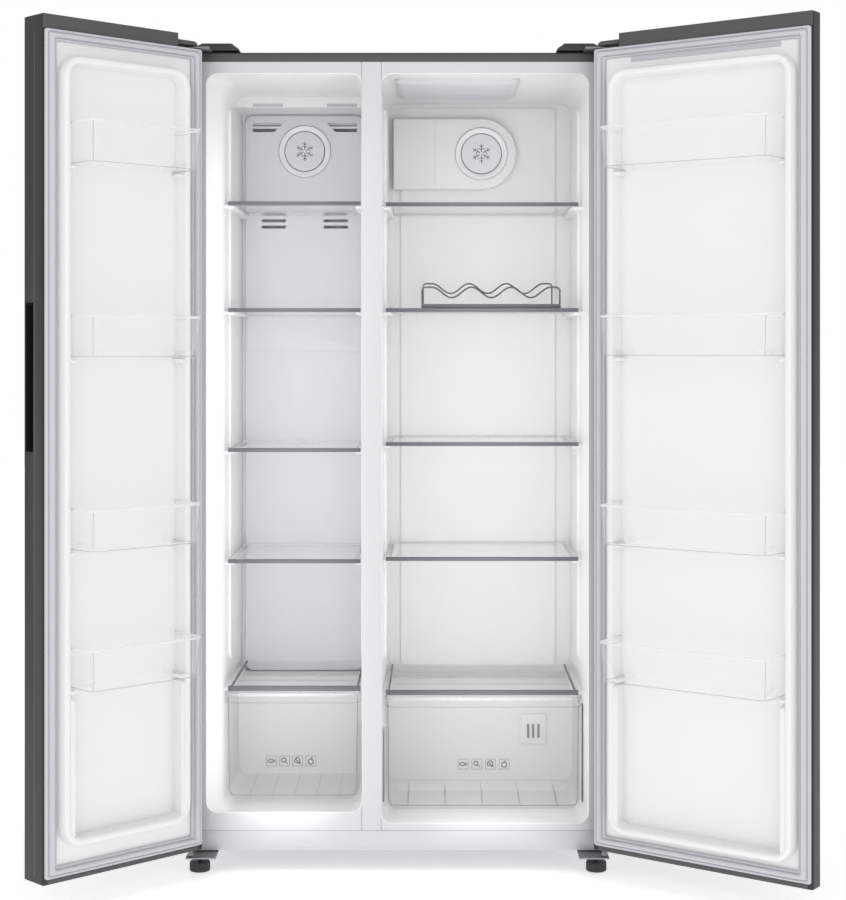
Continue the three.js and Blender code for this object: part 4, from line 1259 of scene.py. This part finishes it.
@dataclass
class BottleRack:
    """The wire bottle rack on the second fridge shelf."""

    kit: Workshop
    place: Place
    node: str = "wine_rack"

    DIP = 23.0
    HALF = 43.5

    def build(self) -> None:
        """Makes the waves, the posts and the lower frame."""
        kit, place = self.kit, self.place
        low, high = node_box(self.node, place)
        radius = 2.5
        left, right = low.x + radius, high.x - radius
        front, rear = low.y + radius, high.y - radius
        floor = low.z + radius
        crest = high.z - radius
        fall = 18.0
        rods = []
        for d, top in ((front, crest - fall), (rear, crest)):
            rods.append(kit.wire("rod", self._wave(left, right, d, top, floor), radius * 0.75))
            rods.append(kit.wire("rod", [place.at(left, d, floor), place.at(right, d, floor)], radius))
        for a in (left, right):
            rods.append(kit.wire("rod", [place.at(a, front, floor), place.at(a, rear, floor)], radius))
            ends = [place.at(a, front, crest - fall - 6), place.at(a, rear, crest - 6)]
            rods.append(kit.wire("rod", ends, radius * 0.8))
        rack = kit.gather("rack_wires", rods)
        kit.fix(rack, self.node, CHROME_WIRE, "rack_wire", [self.node])
        section = round_rect(front - 3.5, front + 3.5, low.z, low.z + 9, 1.5, 4)
        bar = kit.along_u("rack_foot_bar", place, [(section, left - 1), (section, right + 1)])
        kit.soften(bar, 0.5)
        kit.fix(bar, self.node, TRIM_AND_SHADE_GREY, "rack_wire")

    def _wave(self, left: float, right: float, d: float, top: float, floor: float) -> list[Vector]:
        """A wire up one post, over three smooth troughs and down the other post."""
        points = [self.place.at(left, d, floor)]
        points += [self.place.at(left + 8 * (1 - math.cos(t)), d, top - 8 * (1 - math.sin(t)))
                   for t in (i * math.pi / 12 for i in range(7))]
        for centre in (116.0, 203.0, 290.0):
            for i in range(24):
                share = (i + 0.5) / 24
                dip = self.DIP * (0.5 - 0.5 * math.cos(2 * math.pi * share))
                points.append(self.place.at(centre + self.HALF * (2 * share - 1), d, top - dip))
        points += [self.place.at(right - 8 * (1 - math.cos(t)), d, top - 8 * (1 - math.sin(t)))
                   for t in (i * math.pi / 12 for i in range(6, -1, -1))]
        points.append(self.place.at(right, d, floor))
        return points


# ---------------------------------------------------------------- doors


@dataclass(frozen=True)
class DoorSpec:
    """The sizes of one door.

    Args:
        name: "freezer" or "fridge".
        width: Width of the door.
        dyke_bottom: Lower end of the moulded dyke.
        bins: Heights of the bins' rims, from the top.
        plate_strip: Whether a slim strip lies over the liner's top; if not, a slim grey line of painted
            shadow runs down the liner's free side.
        grip_depth: Depth of the grip's recess, from the free edge.
        bevelled: Whether the free edge slopes back towards the outer face.
    """

    name: str
    width: float
    dyke_bottom: float
    bins: tuple[float, ...]
    plate_strip: bool
    grip_depth: float
    bevelled: bool


FREEZER_DOOR = DoorSpec("freezer", 389.2, 134.0, (1567.0, 1184.0, 803.0, 530.0),
                        False, 30.0, False)
FRIDGE_DOOR = DoorSpec("fridge", 500.0, 112.0, (1573.0, 1187.0, 800.0, 520.0),
                       True, 44.0, True)

DOOR_THICKNESS = 68.0
DOOR_BOTTOM = 63.0
DOOR_TOP = 1777.4
HINGE_INSET = 11.0
HINGE_BEHIND = 25.0
DOOR_GAP = 12.0
CAP_HEIGHT = 29.0
FOOT_HEIGHT = 11.0
NOTCH_WIDTH = 62.0
NOTCH_BOTTOM = 1748.0
STRAP_BOTTOM = 1756.0
HINGE_MARGIN = 48.0
FREE_MARGIN = 34.0
DYKE_TOP = 1698.0
DYKE_HEIGHT = 28.0
DYKE_WIDTH = 16.0
DYKE_CORNER = 40.0
POCKET_DEPTH = 20.0
BIN_HEIGHT = 86.0
BIN_REACH = 95.0
GRIP_BOTTOM = 911.0
GRIP_TOP = 1212.0
GRIP_SETBACK = 4.0
GRIP_WIDTH = 32.0
BEVEL_SETBACK = 18.0
BEVEL_DEPTH = 37.0


def door_place(cabinet: Place, spec: DoorSpec) -> Place:
    """Gives a door's local frame: u from its hinge edge, d from its outer face.

    Args:
        cabinet: The cabinet's local frame.
        spec: The door.

    Returns:
        The frame, turned as the door stands at rest.
    """
    joint = next(j for j in frame["joints"] if j["name"] == f"{spec.name}_door_hinge")
    side = 1 if spec is FREEZER_DOOR else -1
    angle = side * math.radians(joint["range_deg"][0])
    pivot = cabinet.at(-side * (CABINET_HALF - HINGE_INSET), -DOOR_GAP - HINGE_BEHIND, 0)
    corner = Place(pivot, angle, side)
    origin = corner.at(-HINGE_INSET, HINGE_BEHIND - DOOR_THICKNESS, 0)
    return Place(origin, angle, side)


@dataclass
class Door:
    """One door: painted sheet, end caps, liner, gasket, grip and bins.

    Args:
        kit: The mesh workshop.
        place: The door's local frame.
        spec: The door's sizes.
    """

    kit: Workshop
    place: Place
    spec: DoorSpec

    @property
    def body(self) -> str:
        """The CAD body that the door's pieces ride on."""
        return f"{self.spec.name}_door"

    def build(self) -> None:
        """Makes every piece of the door."""
        self._sheet()
        self._end_caps()
        self._liner()
        self._gasket()
        self._grip()
        for number, top in enumerate(self.spec.bins, 1):
            self._bin(number, top)
        self.kit.keep(f"{self.body}_foam", FOAM)

    def _notch(self) -> Piece:
        """Cutter for the notch that clears the hinge's arm."""
        return self.kit.box("notch", self.place, (-9, NOTCH_WIDTH),
                            (-9, DOOR_THICKNESS + 9), (NOTCH_BOTTOM, DOOR_TOP + 9))

    def _recess(self) -> Piece:
        """Cutter for the grip's recess in the free edge."""
        w = self.spec.width
        return self.kit.box("recess", self.place, (w - self.spec.grip_depth, w + 9),
                            (GRIP_SETBACK, GRIP_SETBACK + GRIP_WIDTH), (GRIP_BOTTOM, GRIP_TOP))

    def _wedge(self, inset: float) -> Piece:
        """Cutter that slopes the free edge back towards the outer face."""
        slope = BEVEL_SETBACK / BEVEL_DEPTH
        back = BEVEL_SETBACK + inset * math.hypot(1, slope)
        w = self.spec.width
        outline = [(w - back - 5 * slope, -5), (w + 5, -5), (w + 5, (back + 5) / slope)]
        layers = [(outline, DOOR_BOTTOM - 9), (outline, DOOR_TOP + 9)]
        return self.kit.along_z("wedge", self.place, layers)

    def _bevelled(self, piece: Piece, inset: float) -> Piece:
        """Slopes a piece's free edge, on a door that has the slope."""
        return self.kit.cut(piece, self._wedge(inset)) if self.spec.bevelled else piece

    def _sheet(self) -> None:
        """The folded painted sheet: outer face, both edges and the lips behind them."""
        w, t = self.spec.width, DOOR_THICKNESS
        span = (DOOR_BOTTOM + 1.5, DOOR_TOP - 1.5)
        outer = round_rect(0, w, 0, t, 3, 6)
        inner = round_rect(1.2, w - 1.2, 1.2, t - 1.2, 1.8, 6)
        sheet = self.kit.along_z(f"{self.body}_sheet", self.place, [(outer, z) for z in span])
        self._bevelled(sheet, 0.0)
        hollow = self.kit.along_z("hollow", self.place, [(inner, span[0] - 9), (inner, span[1] + 9)])
        self._bevelled(hollow, 1.2)
        opening = self.kit.box("opening", self.place, (12, w - 12), (t - 9, t + 9), (0, DOOR_TOP + 9))
        self.kit.cut(sheet, hollow, opening)
        band = self.kit.box("band", self.place, (-9, self.spec.width + 9), (t - 1.6, t + 9),
                            (DOOR_TOP - CAP_HEIGHT, DOOR_TOP + 9))
        self.kit.cut(sheet, self._notch(), self._recess(), band)
        self.kit.soften(sheet, 0.3, angle=60)
        self.kit.fix(sheet, self.body, GRAPHITE, "graphite_paint", [f"{self.body}_skin"])

    def _end_caps(self) -> None:
        """Plastic caps that close the sheet at the top and at the bottom."""
        kit, place, w, t = self.kit, self.place, self.spec.width, DOOR_THICKNESS
        plan = round_rect(1.3, w - 1.3, 1.3, t - 0.1, 2.5, 5)
        small = round_rect(2.3, w - 2.3, 2.3, t - 1.1, 2.5, 5)
        floor = DOOR_TOP - CAP_HEIGHT
        top = kit.along_z("cap", place, [(plan, floor), (plan, DOOR_TOP - 1), (small, DOOR_TOP)])
        well = kit.box("well", place, (NOTCH_WIDTH + 8, w - 10), (10, t - 10),
                       (DOOR_TOP - 1.2, DOOR_TOP + 9), 6)
        kit.cut(top, self._notch(), well)
        self._bevelled(top, 1.3)
        ledge = round_rect(1.3, NOTCH_WIDTH + 4, 1.3, t - 0.1, 2.5, 5)
        kit.join(top, kit.along_z("ledge", place, [(ledge, floor - 6), (ledge, NOTCH_BOTTOM - 0.05)]))
        strap = round_rect(1.5, NOTCH_WIDTH + 3, 22, t - 4, 17, 8)
        brow = round_rect(5, NOTCH_WIDTH + 3, 26, t - 8, 14, 8)
        layers = [(strap, STRAP_BOTTOM), (strap, STRAP_BOTTOM + 6), (brow, STRAP_BOTTOM + 10)]
        kit.join(top, kit.along_z("strap", place, layers))
        bottom = kit.along_z("foot", place, [(small, DOOR_BOTTOM), (plan, DOOR_BOTTOM + 1),
                                             (plan, DOOR_BOTTOM + FOOT_HEIGHT)])
        self._bevelled(bottom, 1.3)
        kit.soften(kit.join(top, bottom), 0.5)
        top.name = f"{self.body}_end_caps"
        kit.fix(top, self.body, CAP_PLASTIC, "dark_plastic")

    def _dyke(self, inset: float, steps: int = 10) -> Outline:
        """Outline of the moulded dyke, moved inwards by inset."""
        return round_rect(HINGE_MARGIN + inset, self.spec.width - FREE_MARGIN - inset,
                          self.spec.dyke_bottom + inset, DYKE_TOP - inset,
                          max(DYKE_CORNER - inset, 18), steps)

    def _liner(self) -> None:
        """The vacuum-formed inner door with its dyke, pocket and bin ledges."""
        kit, place, spec = self.kit, self.place, self.spec
        t = DOOR_THICKNESS
        face = t - 1.8
        crest = t + DYKE_HEIGHT
        floor = t - POCKET_DEPTH
        plate = round_rect(6, spec.width - 6, DOOR_BOTTOM + 7, NOTCH_BOTTOM - 6, 4, 10)
        inner = DYKE_WIDTH
        steps = ((-4, face), (-1.2, face + 1.2), (0, face + 4), (1.5, crest - 4), (2.6, crest - 1.2),
                 (5, crest), (inner - 5, crest), (inner - 2, crest - 1.4), (inner - 0.5, crest - 5),
                 (inner + 1.5, floor + 7), (inner + 3.5, floor + 2), (inner + 9, floor))
        layers = [(plate, face - 2), (plate, face)] + [(self._dyke(i), d) for i, d in steps]
        sheet = kit.along_d(f"{self.body}_liner_sheet", place, layers)
        back = place.at(0, face - 1.9, 0)
        normal = place.at(0, 1, 0) - place.at(0, 0, 0)
        kit.open_end(sheet, lambda point: abs((point - back).dot(normal)) < 1e-9)
        first, second = spec.dyke_bottom + DYKE_WIDTH, spec.bins[-1] - BIN_HEIGHT - 14
        extras = []
        u0, u1 = HINGE_MARGIN + DYKE_WIDTH, spec.width - FREE_MARGIN - DYKE_WIDTH
        for a, sign in ((u0, 1), (u1, -1)):
            block = round_rect(floor, crest - 1.5, first - 2, second, 9, 6)
            extras.append(kit.along_u("filler", place, [(block, a - sign * 2), (block, a + sign * 9)]))
        for top in spec.bins:
            z1 = top - BIN_HEIGHT - 0.6
            section = round_rect(floor - 1, floor + 15, z1 - 9, z1, 3.5, 4)
            extras.append(kit.along_u("ledge", place, [(section, u0 - 1), (section, u1 + 1)]))
            section = round_rect(floor, crest - 3, z1 - 8, z1, 3, 4)
            for a, sign in ((u0, 1), (u1, -1)):
                ends = [(section, a - sign * 1.5), (section, a + sign * 12)]
                extras.append(kit.along_u("ledge", place, ends))
        if spec.plate_strip:
            strip = kit.box("strip", place, (92, 430), (face - 0.5, face + 2.4), (1714.5, 1723), 0.4)
        else:
            # A grey line down the free side: painted shadow of the gap between the dyke and the gasket.
            strip = kit.box("strip", place, (spec.width - 32.6, spec.width - 30.2),
                            (face - 0.5, face + 2.4), (150, 1690), 0.4)
        strip.name = f"{self.body}_liner_strip"
        kit.fix(strip, self.body, OUTLET_AND_SHADE_GREY, "white_liner")
        for extra in extras:
            kit.soften(extra, 0.9)
        kit.join(sheet, *extras)
        kit.fix(sheet, self.body, WHITE_LINER, "white_liner", [f"{self.body}_liner"], smooth=50)

    def _gasket(self) -> None:
        """The magnetic gasket: a soft ring with two bellows grooves."""
        kit, place, w = self.kit, self.place, self.spec.width
        t = DOOR_THICKNESS
        top = DOOR_TOP - CAP_HEIGHT - 0.5
        bottom = DOOR_BOTTOM + FOOT_HEIGHT + 0.5
        profile = [(0, 0.1), (0, 3.2), (1.2, 5.6), (4.0, 6.6), (6.0, 5.2), (7.0, 3.4), (8.0, 5.6),
                   (9.5, 9.4), (11.5, 11.2), (16.5, 11.4), (18.5, 10.2), (19.6, 6.4), (20.4, 3.8),
                   (21.4, 5.4), (23.0, 6.4), (25.0, 5.0), (26.0, 2.4), (26.2, 0.1)]
        rings = []
        for inset, lift in profile:
            rise = inset * 0.85
            outline = round_rect(4 + inset, w - 4 - inset, bottom + rise, top - rise, 5, 5)
            rings.append([place.at(a, t + lift, b) for a, b in outline])
        gasket = kit.stack(f"{self.body}_gasket_ring", rings, loop=True)
        kit.fix(gasket, self.body, GASKET_RUBBER, "gasket_rubber", [f"{self.body}_gasket"], smooth=60)

    def _grip(self) -> None:
        """The pull cup in the free edge, with a bright bead beside it."""
        kit, place, w = self.kit, self.place, self.spec.width
        d0, d1 = GRIP_SETBACK + 0.3, GRIP_SETBACK + GRIP_WIDTH - 0.3
        outer = round_rect(d0, d1, GRIP_BOTTOM + 0.3, GRIP_TOP - 0.3, 3, 5)
        inner = round_rect(d0 + 2, d1 - 2, GRIP_BOTTOM + 2.3, GRIP_TOP - 2.3, 3, 5)
        deep = round_rect(d0 + 4, d1 - 3, GRIP_BOTTOM + 10, GRIP_TOP - 10, 6, 5)
        bottom = w - self.spec.grip_depth
        cup = kit.along_u(f"{self.body}_grip_cup", place, [(outer, bottom + 0.3), (outer, w - 0.1)])
        hollow = kit.along_u("hollow", place, [(deep, bottom + 2.5), (inner, w + 1)])
        self._bevelled(kit.cut(cup, hollow), 0.1)
        kit.fix(cup, self.body, GRIP_PLASTIC, "handle_plastic", [f"{self.body}_handle"])
        bead = round_rect(d1 + 1.6, d1 + 3.0, DOOR_BOTTOM + 14, DOOR_TOP - 34, 0.6, 3)
        strip = kit.along_u(f"{self.body}_edge_bead", place, [(bead, w - 0.4), (bead, w + 0.02)])
        kit.fix(strip, self.body, TRIM_AND_SHADE_GREY, "dark_plastic")

    def _bin(self, number: int, top: float) -> None:
        """A clear bin with tapering ends, a rolled rim and inner folds."""
        kit, place, spec = self.kit, self.place, self.spec
        node = f"{self.body}_bin_{number}"
        bottom = top - BIN_HEIGHT
        t = DOOR_THICKNESS
        u0, u1 = HINGE_MARGIN + DYKE_WIDTH + 2, spec.width - FREE_MARGIN - DYKE_WIDTH - 2
        d0, d1 = t - POCKET_DEPTH + 1, t + BIN_REACH

        def plan(inset: float, narrow: float) -> Outline:
            """The bin seen from above, inset and narrowed."""
            return round_rect(u0 + inset + narrow * 1.6, u1 - inset - narrow * 1.6,
                              d0 + inset, d1 - inset - 2.4 * narrow, max(18 - inset, 8), 6)

        outer = [(plan(3, 4), bottom), (plan(1, 4), bottom + 1.2), (plan(0, 3.6), bottom + 4),
                 (plan(0, 0), top)]
        tray = kit.along_z(f"{node}_tray", place, outer)
        kit.open_end(tray, lambda point: point.z > (top - 0.1) * MM)
        folds = []
        for a, sign in ((u0, 1), (u1, -1)):
            fold = round_rect(a + sign * 30, a + sign * 33, d0 + 6, d1 - 14, 0.8, 2)
            foot = round_rect(a + sign * 34, a + sign * 37, d0 + 6, d1 - 22, 0.8, 2)
            folds.append(kit.along_z("fold", place, [(foot, bottom + 2.8), (fold, bottom + 16)]))
        for i in range(3):
            a = u0 + 12 + i * 5
            rib = round_rect(a, a + 1.1, d1 - 8.4, d1 - 5.4, 0.4, 2)
            low_rib = round_rect(a, a + 1.1, d1 - 13.4, d1 - 10.6, 0.4, 2)
            folds.append(kit.along_z("rib", place, [(low_rib, bottom + 12), (rib, top - 12)]))
        kit.join(tray, *folds)
        kit.fix(tray, node, CLEAR_PLASTIC, "clear_plastic", [node])
        self._bin_edges(node, plan, bottom, top)

    def _bin_edges(self, node: str, plan: Callable[[float, float], Outline], bottom: float,
                   top: float) -> None:
        """Bright rolled rim, where the clear wall is thick, with pale lines of painted highlight along
        the lower edge and up the corner posts.
        """
        kit, place = self.kit, self.place
        profile = [(0.0, -4.5), (0.0, -0.6), (0.4, -0.05), (2.5, -0.05), (3.0, -0.6), (3.0, -4.5)]
        rings = [[place.at(a, b, top + lift) for a, b in plan(inset, 0.0)] for inset, lift in profile]
        rim = kit.stack(f"{node}_rim", rings, loop=True)
        kit.fix(rim, node, CLEAR_EDGE, "clear_plastic")
        # Pale wires along the foot and up the corners: painted highlight where the clear wall bends.
        base, mouth = plan(0.9, 3.6), plan(0.9, 0)
        foot = [place.at(a, b, bottom + 4) for a, b in base]
        lines = [kit.wire("line", foot, 0.7, closed=True)]
        for corner in (3, 10, 17, 24):
            post = [foot[corner], place.at(*mouth[corner], top - 4)]
            lines.append(kit.wire("line", post, 0.7))
        outline = kit.gather(f"{node}_outline", lines)
        kit.fix(outline, node, HIGHLIGHT_LINE_PALE, "clear_plastic")


# ---------------------------------------------------------------- studio


@dataclass
class Studio:
    """Camera, lamps and floor."""

    kit: Workshop
    place: Place

    def camera(self) -> None:
        """Stands the camera in front of the cabinet, level, with a shifted lens."""
        data = bpy.data.cameras.new("camera")
        data.sensor_width = SENSOR_WIDTH
        data.lens = 73.53
        data.shift_x = -0.01404
        data.shift_y = -0.10932
        data.clip_end = 100.0
        camera = bpy.data.objects.new("camera", data)
        camera.location = self.place.at(80.64, -3923.46, 1112.2)
        camera.rotation_euler = (math.radians(90), 0, 0)
        bpy.context.scene.collection.objects.link(camera)
        bpy.context.scene.camera = camera

    def lights(self) -> None:
        """Large soft lamps and an even white surround, which looks whiter than it lights."""
        world = bpy.data.worlds.new("surround")
        world.use_nodes = True
        tree = world.node_tree
        light = tree.nodes["Background"]
        light.inputs["Color"].default_value = srgb_rgba("#FFFFFF")
        light.inputs["Strength"].default_value = 0.68
        node = self.kit.shop.node
        seen = node(tree, "ShaderNodeBackground", Color=srgb_rgba("#FFFFFF"), Strength=1.0)
        ray = node(tree, "ShaderNodeLightPath")
        mix = node(tree, "ShaderNodeMixShader", {"Fac": ray.outputs["Is Camera Ray"]})
        tree.links.new(light.outputs["Background"], mix.inputs[1])
        tree.links.new(seen.outputs["Background"], mix.inputs[2])
        tree.links.new(mix.outputs["Shader"], tree.nodes["World Output"].inputs["Surface"])
        bpy.context.scene.world = world
        bpy.context.scene.view_settings.view_transform = "Standard"
        self._lamp("key", (-1700, -2600, 2700), (0, 100, 850), (2200, 2200), 13)
        self._lamp("fill", (1900, -2600, 1900), (0, 100, 850), (2200, 2200), 10)
        self._lamp("front", (0, -4300, 1300), (0, 100, 850), (2600, 2600), 9)
        self._lamp("rear", (-900, 4200, 2300), (0, 500, 850), (2400, 2400), 12)
        for space in (FREEZER, FRIDGE):
            middle = sum(space.mouth) / 2
            width = (space.mouth[1] - space.mouth[0]) * 0.5
            self._lamp(f"{space.name}_bounce", (middle, -60, 850), (middle, 400, 850),
                       (width, 1450), 1.5)

    def _lamp(self, name: str, spot: Sequence[float], target: Sequence[float],
              size: tuple[float, float], watts: float) -> None:
        """Adds a rectangular lamp that only lights, and isn't seen itself.

        Args:
            name: Lamp name.
            spot: Where it stands.
            target: What it points at.
            size: Its width and height.
            watts: Its power.
        """
        data = bpy.data.lights.new(name, "AREA")
        data.energy = watts
        data.shape = "RECTANGLE"
        data.size, data.size_y = size[0] * MM, size[1] * MM
        lamp = bpy.data.objects.new(name, data)
        lamp.location = self.place.at(*spot)
        aim = self.place.at(*target) - lamp.location
        lamp.rotation_euler = aim.to_track_quat("-Z", "Y").to_euler()
        lamp.visible_camera = False
        lamp.visible_glossy = False
        bpy.context.scene.collection.objects.link(lamp)

    def floor(self) -> None:
        """A wide white floor."""
        corners = [(-14000, -14000), (14000, -14000), (14000, 14000), (-14000, 14000)]
        points = [self.place.at(a, d, -0.02) for a, d in corners]
        floor = self.kit.mesh("floor", points, [(0, 1, 2, 3)])
        floor.data.materials.append(self.kit.shop.get(FLOOR_WHITE))


def main() -> None:
    """Builds the whole scene."""
    logging.basicConfig(level=logging.INFO)
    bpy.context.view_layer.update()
    low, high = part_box("cabinet_shell")
    place = Place(Vector(((low.x + high.x) / 2, low.y, 0.0)))
    kit = Workshop(MaterialShop())
    studio = Studio(kit, place)
    studio.camera()
    studio.lights()
    studio.floor()
    Cabinet(kit, place).build()
    AirFittings(kit, place).build()
    for space in (FREEZER, FRIDGE):
        for number in (1, 2, 3, 4):
            Shelf(kit, place, f"{space.name}_shelf_{number}").build()
        Shelf(kit, place, f"{space.name}_drawer_cover").build()
    Drawer(kit, place, "freezer_drawer", (-279, -193, 215)).build()
    Drawer(kit, place, "crisper_drawer", (141, 231, 208)).build()
    BottleRack(kit, place).build()
    for spec in (FREEZER_DOOR, FRIDGE_DOOR):
        Door(kit, door_place(place, spec), spec).build()


if __name__ == "__main__":
    main()
